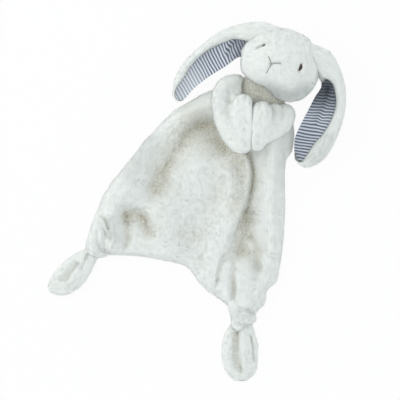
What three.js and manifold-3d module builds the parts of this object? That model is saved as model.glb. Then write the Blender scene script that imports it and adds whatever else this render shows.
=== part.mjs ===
// Comfort blanket: a double layer of plush with a stuffed rabbit's head and arms sewn to one edge.
// The toy lies on its back on Z = 0, seen from above. Millimetres, +Z up, +Y towards the head.
// The origin is on the resting surface, under the middle of the toy's outline.

import * as THREE from 'three';
import Module from 'manifold-3d';
import { mergeVertices } from 'three/addons/utils/BufferGeometryUtils.js';

const wasm = await Module();
wasm.setup();

// Place and lean of the toy
const NECK_X = 65;
const NECK_Y = 108;
const NECK_HEIGHT = 27;
const SPINE_LEAN_DEG = 29.4;

// Neck and blanket
const NECK_RADIUS = 15;
const NECK_THREAD_RADIUS = 0.8;
const BLANKET_WIDTH = 204;
const BLANKET_LENGTH = 220;
const BACK_PANEL_THICKNESS = 3;
const FRONT_PANEL_HEIGHT = 30;

// Head and face
const HEAD_WIDTH = 86;
const HEAD_HEIGHT = 72;
const HEAD_DEPTH = 74;
const HEAD_ABOVE_NECK = 34.5;
const HEAD_COVER_THICKNESS = 3;
const MUZZLE_RISE = 4;
const MUZZLE_REACH = 19;
const PRESSED_DEPTH = 0.5;
const EYE_RADIUS = 3.4;
const EYE_STAND = 1.6;
const EYE_SHANK_RADIUS = 1.2;
const EYE_SHANK_LENGTH = 9;
const WASHER_RADIUS = 5;
const WASHER_THICKNESS = 1.2;
const THREAD_RADIUS = 0.6;

// Ears
const EAR_LENGTH = 118;
const EAR_ROLL_HEIGHT = 8.5;
const EAR_ROOT_HEIGHT = 42;
const EAR_ROOT_GAP = 0.5;
const EAR_LINING_THICKNESS = 1;
const LEFT_EAR_LIFT_DEG = 60;
const RIGHT_EAR_LIFT_DEG = 50;

// Arms
const ARM_LENGTH = 60;
const ARM_RADIUS = 13;
const ARM_COVER_THICKNESS = 2.5;
const PAW_STITCH_LENGTH = 7;

// Knotted corners
const KNOT_RADIUS = 13.5;
const KNOT_WRAP_RADIUS = 4.2;
const LEFT_TAIL_LENGTH = 51.5;
const LEFT_TAIL_WIDTH = 31;
const BOTTOM_TAIL_LENGTH = 54.5;
const BOTTOM_TAIL_WIDTH = 38;
const TAIL_RIM_HEIGHT = 15;

// Clearances
const FIT_GAP = 0.4;
const JOINT_GAP = 0.6;

// The spine and the shoulders give the two directions that the head and the neck are set out by.
const lean = THREE.MathUtils.degToRad(SPINE_LEAN_DEG);
const UP_THE_SPINE = new THREE.Vector3(Math.sin(lean), Math.cos(lean), 0);
const ALONG_SHOULDERS = new THREE.Vector3(Math.cos(lean), -Math.sin(lean), 0);
const TO_VIEWER = new THREE.Vector3(0, 0, 1);
const NECK = new THREE.Vector3(NECK_X, NECK_Y, NECK_HEIGHT);

const mix = THREE.MathUtils.lerp;

// A point set out from an anchor by shares of one or two sizes, with its height given by itself.
function shareOf(anchor, xSize, ySize, xShare, yShare, height) {
  return new THREE.Vector3(anchor.x + xSize * xShare, anchor.y + ySize * yShare, height);
}

// Faces are turned so that they point out of the body.
function bodyFrom(points, faces) {
  let volume = 0;
  for (let i = 0; i < faces.length; i += 3) {
    const [a, b, c] = [points[faces[i]], points[faces[i + 1]], points[faces[i + 2]]];
    volume += a.dot(new THREE.Vector3().crossVectors(b, c));
  }
  const outward = volume > 0 ? faces : [...faces].reverse();
  const geometry = new THREE.BufferGeometry();
  geometry.setAttribute('position', new THREE.Float32BufferAttribute(points.flatMap((p) => p.toArray()), 3));
  geometry.setIndex(outward);
  return geometry;
}

// A skin over rings of equal count. The flat ends are cut by the section's own 2D outline.
function loft(rings, endOutline) {
  const count = rings[0].length;
  const faces = [];
  for (let i = 0; i + 1 < rings.length; i += 1) {
    for (let j = 0; j < count; j += 1) {
      const here = i * count + j;
      const beside = i * count + ((j + 1) % count);
      faces.push(here, beside, beside + count, here, beside + count, here + count);
    }
  }
  const clockwise = THREE.ShapeUtils.isClockWise(endOutline);
  const last = (rings.length - 1) * count;
  for (const triangle of THREE.ShapeUtils.triangulateShape(endOutline, [])) {
    const [a, b, c] = THREE.ShapeUtils.isClockWise(triangle.map((i) => endOutline[i])) === clockwise
      ? triangle : [...triangle].reverse();
    faces.push(a, c, b, last + a, last + b, last + c);
  }
  return bodyFrom(rings.flat(), faces);
}

const BALL_SIDES = 16;
const SMALL_SIDES = 12;

// three.js geometry to a solid that can be joined and cut, and back
function solid(geometry) {
  const bare = geometry.clone();
  bare.deleteAttribute('normal');
  bare.deleteAttribute('uv');
  const merged = mergeVertices(bare);
  return new wasm.Manifold(new wasm.Mesh({
    numProp: 3,
    vertProperties: new Float32Array(merged.attributes.position.array),
    triVerts: new Uint32Array(merged.index.array),
  }));
}

function geometryOf(body) {
  const mesh = body.getMesh();
  const geometry = new THREE.BufferGeometry();
  geometry.setAttribute('position', new THREE.Float32BufferAttribute(mesh.vertProperties, 3));
  geometry.setIndex([...mesh.triVerts]);
  geometry.computeVertexNormals();
  return geometry;
}

// The same solid, turned about an axis through a point
function turned(body, at, axis, degrees) {
  const turn = new THREE.Matrix4().makeRotationAxis(axis, THREE.MathUtils.degToRad(degrees));
  const there = new THREE.Matrix4().makeTranslation(at.x, at.y, at.z);
  const back = new THREE.Matrix4().makeTranslation(-at.x, -at.y, -at.z);
  return body.transform(there.multiply(turn).multiply(back).elements);
}

function ball(centre, radius, sides = BALL_SIDES) {
  const sphere = new THREE.SphereGeometry(radius, sides, sides / 2);
  return solid(sphere.translate(centre.x, centre.y, centre.z));
}

// A round rod from one point to another
function rod(from, to, radius, sides = SMALL_SIDES) {
  const axis = new THREE.Vector3().subVectors(to, from);
  const cylinder = new THREE.CylinderGeometry(radius, radius, axis.length(), sides);
  const turn = new THREE.Quaternion().setFromUnitVectors(new THREE.Vector3(0, 1, 0), axis.normalize());
  const middle = new THREE.Vector3().addVectors(from, to).multiplyScalar(1 / 2);
  return solid(cylinder.applyQuaternion(turn).translate(middle.x, middle.y, middle.z));
}

// Stuffed limb: round rings along a route, closed by rounded ends
const LIMB_SIDES = 8;
const LIMB_STEPS = 5;
const END_ANGLES_DEG = [18, 52];

function circle(count) {
  return Array.from({ length: count }, (_, i) => {
    const angle = (i / count) * Math.PI * 2;
    return new THREE.Vector2(Math.cos(angle), Math.sin(angle));
  });
}

function ringAt(centre, direction, acrossRadius, upRadius) {
  const side = new THREE.Vector3().crossVectors(direction, TO_VIEWER).normalize();
  const up = new THREE.Vector3().crossVectors(side, direction).normalize();
  return circle(LIMB_SIDES).map((p) => centre.clone()
    .addScaledVector(side, p.x * acrossRadius).addScaledVector(up, p.y * upRadius));
}

function limb(route, radii) {
  const curve = new THREE.CatmullRomCurve3(route);
  const radiusAt = (t) => {
    const place = t * (radii.length - 1);
    const before = Math.min(Math.floor(place), radii.length - 2);
    return mix(radii[before], radii[before + 1], place - before);
  };
  const rings = [];
  const roundEnd = (t, sign, angles) => {
    for (const degrees of angles) {
      const angle = THREE.MathUtils.degToRad(degrees);
      const direction = curve.getTangent(t);
      const centre = curve.getPoint(t).addScaledVector(direction, sign * radiusAt(t) * Math.cos(angle));
      const radius = radiusAt(t) * Math.sin(angle);
      rings.push(ringAt(centre, direction, radius, radius));
    }
  };
  roundEnd(0, -1, END_ANGLES_DEG);
  for (let i = 0; i <= LIMB_STEPS; i += 1) {
    const t = i / LIMB_STEPS;
    rings.push(ringAt(curve.getPoint(t), curve.getTangent(t), radiusAt(t), radiusAt(t)));
  }
  roundEnd(1, 1, [...END_ANGLES_DEG].reverse());
  return solid(loft(rings, circle(LIMB_SIDES)));
}

// Head: an egg that is wider than it is high, with a raised muzzle and a back pressed flat by its weight
const HEAD_CENTRE = NECK.clone().addScaledVector(UP_THE_SPINE, HEAD_ABOVE_NECK)
  .setZ(HEAD_DEPTH / 2 - PRESSED_DEPTH);
const MUZZLE_SHARE = new THREE.Vector2(-0.14, -0.2);
const HEAD_SIDES = 16;
const HEAD_RINGS = 10;

function muzzleRise(across, up) {
  const fromMuzzle = new THREE.Vector2(
    across - MUZZLE_SHARE.x * HEAD_WIDTH / 2,
    up - MUZZLE_SHARE.y * HEAD_HEIGHT / 2,
  );
  return MUZZLE_RISE * Math.exp(-fromMuzzle.lengthSq() / (MUZZLE_REACH * MUZZLE_REACH));
}

function headPlace(across, up, depth) {
  return HEAD_CENTRE.clone().addScaledVector(ALONG_SHOULDERS, across)
    .addScaledVector(UP_THE_SPINE, up).addScaledVector(TO_VIEWER, depth);
}

function headSolid(inset) {
  const sphere = new THREE.SphereGeometry(1, HEAD_SIDES, HEAD_RINGS);
  const place = sphere.attributes.position;
  for (let i = 0; i < place.count; i += 1) {
    const across = place.getX(i) * (HEAD_WIDTH / 2 - inset);
    const up = place.getY(i) * (HEAD_HEIGHT / 2 - inset);
    const front = Math.max(place.getZ(i), 0);
    const depth = place.getZ(i) * (HEAD_DEPTH / 2 - inset) + front * muzzleRise(across, up);
    const point = headPlace(across, up, depth);
    place.setXYZ(i, point.x, point.y, Math.max(point.z, inset));
  }
  return solid(sphere);
}

// The place on the face above a point given by shares of the head's half width and half height
function onFace(acrossShare, upShare, stand) {
  const front = Math.sqrt(1 - acrossShare * acrossShare - upShare * upShare);
  const across = acrossShare * HEAD_WIDTH / 2;
  const up = upShare * HEAD_HEIGHT / 2;
  return headPlace(across, up, front * (HEAD_DEPTH / 2 + muzzleRise(across, up)) + stand);
}

// Neck: a ball that the head turns on, flaring into the gathered edge of the blanket
const NECK_FLARE = [
  { awayShare: 0.3, widthShare: 0.75, heightShare: 0.68, centreShare: 0.95 },
  { awayShare: 0.7, widthShare: 0.78, heightShare: 0.62, centreShare: 0.86 },
  { awayShare: 1.05, widthShare: 1.3, heightShare: 0.66, centreShare: 0.77 },
  { awayShare: 1.7, widthShare: 1.65, heightShare: 0.6, centreShare: 0.68 },
  { awayShare: 2.5, widthShare: 1.6, heightShare: 0.4, centreShare: 0.6 },
  { awayShare: 2.8, widthShare: 1.3, heightShare: 0.15, centreShare: 0.55 },
];

function neckSolid(grow) {
  const rings = NECK_FLARE.map(({ awayShare, widthShare, heightShare, centreShare }) => ringAt(
    NECK.clone().addScaledVector(UP_THE_SPINE, -awayShare * NECK_RADIUS)
      .setZ(centreShare * NECK_HEIGHT),
    UP_THE_SPINE,
    widthShare * NECK_RADIUS + grow,
    heightShare * NECK_RADIUS + grow,
  ));
  return solid(loft(rings, circle(LIMB_SIDES))).add(ball(NECK, NECK_RADIUS + grow));
}

// Thread round the waist between the neck's ball and its flare
const NECK_WAIST_SHARE = 0.55;

function neckThreadSolid(grow) {
  const waistRadius = NECK_RADIUS * Math.sqrt(1 - NECK_WAIST_SHARE * NECK_WAIST_SHARE);
  const torus = new THREE.TorusGeometry(waistRadius, NECK_THREAD_RADIUS + grow, SMALL_SIDES / 2, 2 * SMALL_SIDES);
  const turn = new THREE.Quaternion().setFromUnitVectors(TO_VIEWER, UP_THE_SPINE);
  const centre = NECK.clone().addScaledVector(UP_THE_SPINE, -NECK_WAIST_SHARE * NECK_RADIUS);
  return solid(torus.applyQuaternion(turn).translate(centre.x, centre.y, centre.z));
}

// Eyes: a domed bead on a shank through the cover, locked by a washer inside
const EYE_SHARES = { left_eye: [-0.56, 0.21], right_eye: [0.47, 0.21] };

function eyeFrame([acrossShare, upShare]) {
  const seat = onFace(acrossShare, upShare, 0);
  const inward = new THREE.Vector3().subVectors(HEAD_CENTRE, seat).normalize();
  return { seat, inward };
}

function eyeSolid(shares, grow) {
  const { seat, inward } = eyeFrame(shares);
  const centre = seat.clone().addScaledVector(inward, EYE_RADIUS - EYE_STAND);
  const shankEnd = seat.clone().addScaledVector(inward, EYE_SHANK_LENGTH + grow);
  return ball(centre, EYE_RADIUS + grow, SMALL_SIDES).add(rod(centre, shankEnd, EYE_SHANK_RADIUS + grow));
}

function washerSolid(shares, grow) {
  const { seat, inward } = eyeFrame(shares);
  const depth = HEAD_COVER_THICKNESS + EYE_RADIUS;
  const from = seat.clone().addScaledVector(inward, depth - grow);
  const to = seat.clone().addScaledVector(inward, depth + WASHER_THICKNESS + grow);
  return rod(from, to, WASHER_RADIUS + grow, BALL_SIDES);
}

// Muzzle stitches: three threads that meet under the nose, each lying just proud of the cover
const MUZZLE_STITCHES = [
  [[-0.16, -0.09], [-0.22, -0.03], [-0.29, 0.01]],
  [[-0.16, -0.09], [-0.06, -0.04], [0.04, 0.04]],
  [[-0.16, -0.09], [-0.15, -0.24], [-0.155, -0.4]],
];

const STITCH_STEPS = 4;

function stitchSolid() {
  const section = new THREE.Shape(circle(SMALL_SIDES / 2).map((p) => p.multiplyScalar(THREAD_RADIUS)));
  const threads = MUZZLE_STITCHES.map((stitch) => {
    const route = stitch.map(([across, up]) => onFace(across, up, THREAD_RADIUS + FIT_GAP));
    const extrudePath = new THREE.CatmullRomCurve3(route);
    return solid(new THREE.ExtrudeGeometry(section, { extrudePath, steps: STITCH_STEPS }));
  });
  return threads.reduce((joined, thread) => joined.add(thread));
}

// Ears: a long leaf folded to a trough, given by pairs of points on its outer and inner edges.
// Each row is outer across, outer up, inner across, inner up and drop, in shares of the ear's length,
// then the lip of the roll in shares of the width, and the roll's height in shares of its full height.
const LEFT_EAR_SHARES = [
  [0.04, 0.13, -0.04, -0.13, 0, 0.62, 0.62],
  [-0.08, 0.125, -0.1, -0.17, 0.025, 0.63, 0.85],
  [-0.19, 0.1, -0.17, -0.22, 0.075, 0.65, 1],
  [-0.285, 0.03, -0.26, -0.28, 0.125, 0.66, 1],
  [-0.405, -0.07, -0.35, -0.335, 0.175, 0.66, 1],
  [-0.5, -0.16, -0.43, -0.4, 0.215, 0.68, 0.9],
  [-0.575, -0.275, -0.485, -0.465, 0.245, 0.72, 0.75],
  [-0.61, -0.385, -0.52, -0.5, 0.265, 0.76, 0.6],
  [-0.605, -0.47, -0.56, -0.51, 0.28, 0.8, 0.4],
];
const RIGHT_EAR_SHARES = [
  [-0.01, 0.135, 0.01, -0.135, 0, 0.55, 0.62],
  [0.08, 0.11, 0.02, -0.16, 0.02, 0.55, 0.85],
  [0.145, 0.035, 0.02, -0.2, 0.05, 0.58, 1],
  [0.2, -0.085, 0, -0.24, 0.09, 0.66, 1],
  [0.24, -0.245, -0.04, -0.295, 0.13, 0.68, 1],
  [0.235, -0.395, -0.09, -0.39, 0.17, 0.68, 1],
  [0.2, -0.53, -0.145, -0.5, 0.2, 0.64, 1],
  [0.15, -0.665, -0.195, -0.61, 0.22, 0.58, 1],
  [0.08, -0.79, -0.22, -0.71, 0.24, 0.5, 0.95],
  [-0.025, -0.87, -0.215, -0.795, 0.25, 0.44, 0.75],
  [-0.11, -0.89, -0.165, -0.865, 0.26, 0.42, 0.5],
];
const EAR_STEPS = 14;
const EAR_BELLY_SHARES = [[0, 0], [0.2, -0.45], [0.5, -0.8], [0.8, -0.8], [0.96, -0.35], [1, 0.15]];
const EAR_ROLL_SHARES = [[0.8, 0.8], [0.45, 1], [0.1, 0.75]];
const EAR_FLOOR_SHARES = [[1, -0.05], [0.62, -0.3], [0.3, -0.1], [0.05, 0.25]];
const EAR_TUCK_SHARE = 0.94;
const EAR_LIP_UNDERSIDE_SHARE = 0.3;
const LINING_MARGIN_SHARE = 0.25;

function earStations(rows, root) {
  const columns = rows[0].map((_, k) => new THREE.SplineCurve(
    rows.map((row, i) => new THREE.Vector2(i, row[k])),
  ));
  return Array.from({ length: EAR_STEPS + 1 }, (_, step) => {
    const [ox, oy, ix, iy, drop, lip, rise] = columns.map((column) => column.getPoint(step / EAR_STEPS).y);
    const height = root.z - drop * EAR_LENGTH;
    return {
      outer: shareOf(root, EAR_LENGTH, EAR_LENGTH, ox, oy, height),
      inner: shareOf(root, EAR_LENGTH, EAR_LENGTH, ix, iy, height),
      lip,
      rise: rise * EAR_ROLL_HEIGHT,
    };
  });
}

// The trough's floor, from the tuck under the roll to the inner edge
function earFloor(lip) {
  return EAR_FLOOR_SHARES.map(([across, up]) => [across * lip * EAR_TUCK_SHARE, up]);
}

function earRing(station, outline) {
  return outline.map(([across, up, lift]) => {
    const point = new THREE.Vector3().lerpVectors(station.inner, station.outer, across);
    return point.setZ(point.z + up * station.rise + (lift ?? 0));
  });
}

function earBackSolid(stations) {
  const outline = ({ lip }) => [
    ...EAR_BELLY_SHARES,
    ...EAR_ROLL_SHARES.map(([across, up]) => [mix(lip, 1, across), up]),
    [lip, EAR_LIP_UNDERSIDE_SHARE],
    ...earFloor(lip),
  ];
  const rings = stations.map((station) => earRing(station, outline(station)));
  return solid(loft(rings, outline(stations[0]).map(([x, y]) => new THREE.Vector2(x, y))));
}

function earLiningSolid(stations) {
  const between = (a, b, share) => [mix(a[0], b[0], share), mix(a[1], b[1], share)];
  const outline = ({ lip }) => {
    const [tuck, valley, slope, edge] = earFloor(lip);
    const floor = [
      between(tuck, valley, LINING_MARGIN_SHARE), valley, slope, between(edge, slope, LINING_MARGIN_SHARE),
    ];
    return [
      ...floor.map(([across, up]) => [across, up, FIT_GAP]),
      ...floor.reverse().map(([across, up]) => [across, up, FIT_GAP + EAR_LINING_THICKNESS]),
    ];
  };
  const inside = stations.slice(1, -1);
  const rings = inside.map((station) => earRing(station, outline(station)));
  const { rise } = inside[0];
  const flatOutline = outline(inside[0]).map(([x, y, lift]) => new THREE.Vector2(x, y + lift / rise));
  return solid(loft(rings, flatOutline));
}

// Arms: an upper arm and a forearm that meets it again at the chest, in shares of the arm's length.
// Each row is across, up, height and radius share.
const ARM_SHARES = {
  left: {
    upper: [[-0.4, 0.1, 0.5, 0.82], [-0.59, -0.1, 0.6, 1], [-0.63, -0.38, 0.67, 1.03],
      [-0.53, -0.65, 0.71, 1], [-0.33, -0.8, 0.74, 0.97]],
    forearm: [[-0.33, -0.79, 0.76, 0.95], [-0.33, -0.53, 0.8, 0.86], [-0.32, -0.2, 0.84, 0.9]],
  },
  right: {
    upper: [[0.36, -0.27, 0.52, 0.76], [0.37, -0.45, 0.6, 0.82], [0.25, -0.62, 0.68, 0.82],
      [0.04, -0.74, 0.73, 0.88]],
    forearm: [[0.01, -0.72, 0.76, 0.87], [0.01, -0.53, 0.8, 0.8], [0.02, -0.31, 0.83, 0.84]],
  },
};

function armSolid({ upper, forearm }, inset) {
  const segment = (rows) => limb(
    rows.map(([across, up, height]) => shareOf(NECK, ARM_LENGTH, ARM_LENGTH, across, up, height * ARM_LENGTH)),
    rows.map((row) => row[3] * ARM_RADIUS - inset),
  );
  return segment(upper).add(segment(forearm));
}

// The sleeve's open end, where it is sewn to the neck
function shoulderOpening({ upper }, inset) {
  const [start, next] = upper.map(([across, up, height]) => (
    shareOf(NECK, ARM_LENGTH, ARM_LENGTH, across, up, height * ARM_LENGTH)));
  const outward = new THREE.Vector3().subVectors(start, next).normalize();
  const radius = upper[0][3] * ARM_RADIUS - inset;
  return rod(start, start.clone().addScaledVector(outward, 2 * ARM_RADIUS), radius, LIMB_SIDES);
}

// One stitch through both paws, where the left one meets the side of the right one
const PAW_STITCH_SHARE = { up: -0.42, height: 0.83 };

function pawStitchSolid(grow) {
  const { up, height } = PAW_STITCH_SHARE;
  const [across, , , radiusShare] = ARM_SHARES.right.forearm[1];
  const middle = shareOf(NECK, ARM_LENGTH, ARM_LENGTH, across, up, height * ARM_LENGTH);
  middle.x -= radiusShare * ARM_RADIUS;
  const half = new THREE.Vector3(PAW_STITCH_LENGTH / 2 + grow, 0, 0);
  return rod(middle.clone().sub(half), middle.clone().add(half), THREAD_RADIUS + grow);
}

// Blanket: fold lines from the neck to the hem, from the left edge to the right edge.
// Each point is across and up in shares of the blanket's width and length, and height in shares
// of the front panel's height.
const FOLD_SHARES = [
  [[-0.225, 0.02, 0.17], [-0.42, -0.065, 0.17], [-0.58, -0.21, 0.17], [-0.735, -0.39, 0.17],
    [-0.81, -0.53, 0.17], [-0.85, -0.66, 0.17]],
  [[-0.19, 0, 0.45], [-0.365, -0.085, 0.53], [-0.5, -0.24, 0.53], [-0.64, -0.41, 0.47],
    [-0.735, -0.535, 0.4], [-0.81, -0.68, 0.35]],
  [[-0.16, -0.035, 0.33], [-0.315, -0.135, 0.3], [-0.42, -0.27, 0.3], [-0.545, -0.455, 0.3],
    [-0.64, -0.59, 0.3], [-0.745, -0.72, 0.2]],
  [[-0.14, -0.08, 0.53], [-0.255, -0.21, 0.6], [-0.345, -0.355, 0.67], [-0.44, -0.52, 0.67],
    [-0.53, -0.645, 0.53], [-0.6, -0.74, 0.2]],
  [[-0.12, -0.125, 0.67], [-0.18, -0.265, 0.73], [-0.24, -0.4, 0.7], [-0.31, -0.555, 0.6],
    [-0.365, -0.68, 0.43], [-0.41, -0.77, 0.2]],
  [[-0.1, -0.165, 0.83], [-0.095, -0.29, 0.9], [-0.11, -0.435, 0.83], [-0.165, -0.59, 0.63],
    [-0.235, -0.735, 0.43], [-0.295, -0.87, 0.2]],
  [[-0.07, -0.18, 0.53], [-0.055, -0.31, 0.33], [-0.06, -0.435, 0.3], [-0.11, -0.575, 0.27],
    [-0.18, -0.735, 0.23], [-0.215, -0.93, 0.18]],
  [[-0.035, -0.18, 0.83], [-0.025, -0.31, 0.8], [-0.025, -0.445, 0.77], [-0.04, -0.59, 0.7],
    [-0.1, -0.765, 0.57], [-0.14, -0.97, 0.33]],
  [[0.04, -0.165, 0.9], [0.045, -0.31, 1], [0.045, -0.46, 0.97], [0.035, -0.62, 0.87],
    [0, -0.78, 0.67], [-0.06, -0.98, 0.33]],
  [[0.14, -0.11, 0.17], [0.12, -0.3, 0.17], [0.118, -0.48, 0.17], [0.108, -0.665, 0.17],
    [0.083, -0.82, 0.17], [0.03, -0.9, 0.17]],
];
const FOLD_STEPS = 10;
const STEPS_BETWEEN_FOLDS = 3;

function blanketGrid() {
  const folds = FOLD_SHARES.map((line) => new THREE.CatmullRomCurve3(line.map(([across, up, height]) => (
    shareOf(NECK, BLANKET_WIDTH, BLANKET_LENGTH, across, up, height * FRONT_PANEL_HEIGHT)))));
  const columns = (folds.length - 1) * STEPS_BETWEEN_FOLDS;
  return Array.from({ length: FOLD_STEPS + 1 }, (_, i) => {
    const row = new THREE.CatmullRomCurve3(folds.map((fold) => fold.getPoint(i / FOLD_STEPS)));
    return Array.from({ length: columns + 1 }, (_unused, j) => row.getPoint(j / columns));
  });
}

// The grid's top, the same grid pressed flat underneath, and a wall round the edge
function frontPanelSolid(grid) {
  const underside = BACK_PANEL_THICKNESS + FIT_GAP;
  const [rows, columns] = [grid.length, grid[0].length];
  const top = grid.flat();
  const points = [...top, ...top.map((p) => p.clone().setZ(underside))];
  const faces = [];
  const quad = (a, b, c, d) => faces.push(a, b, c, a, c, d);
  for (let i = 0; i + 1 < rows; i += 1) {
    for (let j = 0; j + 1 < columns; j += 1) {
      const here = i * columns + j;
      quad(here, here + 1, here + columns + 1, here + columns);
      const below = here + top.length;
      quad(below, below + columns, below + columns + 1, below + 1);
    }
  }
  const edge = edgeLoop(rows, columns);
  edge.forEach((here, k) => {
    const next = edge[(k + 1) % edge.length];
    quad(here, here + top.length, next + top.length, next);
  });
  return solid(bodyFrom(points, faces));
}

// Indices round the edge of a grid, in one direction
function edgeLoop(rows, columns) {
  const loop = [];
  for (let j = 0; j < columns - 1; j += 1) loop.push(j);
  for (let i = 0; i < rows - 1; i += 1) loop.push(i * columns + columns - 1);
  for (let j = columns - 1; j > 0; j -= 1) loop.push((rows - 1) * columns + j);
  for (let i = rows - 1; i > 0; i -= 1) loop.push(i * columns);
  return loop;
}

function backPanelSolid(grid) {
  const points = grid.flat();
  const outline = edgeLoop(grid.length, grid[0].length).map((i) => new THREE.Vector2(points[i].x, points[i].y));
  const shape = new THREE.Shape(outline);
  return solid(new THREE.ExtrudeGeometry(shape, { depth: BACK_PANEL_THICKNESS, bevelEnabled: false }));
}

// Corner knots: the gathered cloth wrapped once round itself, with its free tail folded to a leaf
const CORNERS = {
  left: {
    knotShare: [-0.815, -0.675],
    aimShare: [-0.7, -0.71],
    length: LEFT_TAIL_LENGTH,
    width: LEFT_TAIL_WIDTH,
    wrapTiltDeg: 28,
  },
  bottom: {
    knotShare: [-0.098, -1],
    aimShare: [-0.06, -1],
    length: BOTTOM_TAIL_LENGTH,
    width: BOTTOM_TAIL_WIDTH,
    wrapTiltDeg: 18,
  },
};

function knotCentre({ knotShare }) {
  return shareOf(NECK, BLANKET_WIDTH, BLANKET_LENGTH, knotShare[0], knotShare[1], KNOT_RADIUS);
}

function tailAim({ aimShare }) {
  return new THREE.Vector3(aimShare[0], aimShare[1], 0).normalize();
}

// The cloth wraps of the knot lie as two crossed rings about the tail's line, over a smaller core.
const KNOT_CORE_SHARE = 0.9;
const KNOT_WRAP_SIDES = 6;
const KNOT_SIDES = 10;

function knotSolid(corner, grow) {
  const centre = knotCentre(corner);
  const core = ball(centre, KNOT_CORE_SHARE * KNOT_RADIUS + grow, KNOT_SIDES);
  const wrapRing = (tiltDeg) => {
    const torus = new THREE.TorusGeometry(
      KNOT_RADIUS - KNOT_WRAP_RADIUS,
      KNOT_WRAP_RADIUS + grow,
      KNOT_WRAP_SIDES,
      KNOT_SIDES,
    );
    const aim = tailAim(corner);
    const sideways = new THREE.Vector3().crossVectors(aim, TO_VIEWER);
    const axis = aim.clone().applyAxisAngle(sideways, THREE.MathUtils.degToRad(tiltDeg));
    const turn = new THREE.Quaternion().setFromUnitVectors(TO_VIEWER, axis);
    return solid(torus.applyQuaternion(turn).translate(centre.x, centre.y, centre.z));
  };
  return core.add(wrapRing(corner.wrapTiltDeg)).add(wrapRing(-corner.wrapTiltDeg));
}

const TAIL_STATIONS = [
  { alongShare: 0.1, widthShare: 0.42, riseShare: 0.85 },
  { alongShare: 0.24, widthShare: 0.52, riseShare: 0.85 },
  { alongShare: 0.38, widthShare: 0.74, riseShare: 0.9 },
  { alongShare: 0.52, widthShare: 0.93, riseShare: 1 },
  { alongShare: 0.66, widthShare: 1, riseShare: 1 },
  { alongShare: 0.8, widthShare: 0.94, riseShare: 0.9 },
  { alongShare: 0.9, widthShare: 0.76, riseShare: 0.75 },
  { alongShare: 0.97, widthShare: 0.5, riseShare: 0.55 },
  { alongShare: 1, widthShare: 0.25, riseShare: 0.4 },
];
const TAIL_SECTION_SHARES = [
  [-1, 0.4], [-0.8, 0.1], [-0.45, 0], [0, 0], [0.45, 0], [0.8, 0.1], [1, 0.4],
  [0.93, 0.85], [0.68, 1], [0.42, 0.75], [0.18, 0.42], [-0.18, 0.42], [-0.42, 0.75], [-0.68, 1], [-0.93, 0.85],
];

function tailSolid(corner) {
  const aim = tailAim(corner);
  const sideways = new THREE.Vector3().crossVectors(aim, TO_VIEWER);
  const start = knotCentre(corner).setZ(0);
  const rings = TAIL_STATIONS.map(({ alongShare, widthShare, riseShare }) => (
    TAIL_SECTION_SHARES.map(([across, up]) => start.clone()
      .addScaledVector(aim, alongShare * (corner.length + KNOT_RADIUS))
      .addScaledVector(sideways, across * widthShare * corner.width / 2)
      .setZ(up * riseShare * TAIL_RIM_HEIGHT))));
  const outline = TAIL_SECTION_SHARES.map(([x, y]) => new THREE.Vector2(x, y));
  return solid(loft(rings, outline)).subtract(knotSolid(corner, FIT_GAP));
}

// Finishes, with the colour of each material as the eye sees it
const finish = (color, roughness) => new THREE.MeshStandardMaterial({ color, roughness, metalness: 0 });
const FINISHES = {
  plush: finish('#e6ebe8', 0.95),
  backing: finish('#e9ece9', 0.95),
  ticking: finish('#b9c0c8', 0.85),
  fibre: finish('#f6f6f4', 0.9),
  bead: finish('#3a1c17', 0.15),
  washer: finish('#f2f2ee', 0.4),
  thread: finish('#8f9496', 0.7),
  neckThread: finish('#f0f0ec', 0.7),
};

const toy = new THREE.Group();

function addPart(name, body, material) {
  const mesh = new THREE.Mesh(geometryOf(body), material);
  mesh.name = name;
  toy.add(mesh);
}

// The neck's parts. The thread draws the blanket's edge in round the neck.
const grownNeck = neckSolid(JOINT_GAP);
addPart('neck_gather', neckSolid(0).subtract(neckThreadSolid(FIT_GAP)), FINISHES.plush);
addPart('neck_thread', neckThreadSolid(0), FINISHES.neckThread);

// The head's parts
const eyes = Object.entries(EYE_SHARES);
const headPocket = headSolid(HEAD_COVER_THICKNESS);
const neckSeat = ball(NECK, NECK_RADIUS + JOINT_GAP);
let headCover = headSolid(0).subtract(headPocket).subtract(neckSeat);
let headFilling = headSolid(HEAD_COVER_THICKNESS + FIT_GAP).subtract(ball(NECK, NECK_RADIUS + 2 * JOINT_GAP));
for (const [name, shares] of eyes) {
  const washer = washerSolid(shares, 0).subtract(eyeSolid(shares, FIT_GAP));
  addPart(name, eyeSolid(shares, 0), FINISHES.bead);
  addPart(`${name}_washer`, washer, FINISHES.washer);
  headCover = headCover.subtract(eyeSolid(shares, FIT_GAP)).subtract(washerSolid(shares, FIT_GAP));
  headFilling = headFilling.subtract(eyeSolid(shares, FIT_GAP)).subtract(washerSolid(shares, FIT_GAP));
}
addPart('head_cover', headCover, FINISHES.plush);
addPart('head_filling', headFilling, FINISHES.fibre);
addPart('muzzle_stitches', stitchSolid(), FINISHES.thread);

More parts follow.
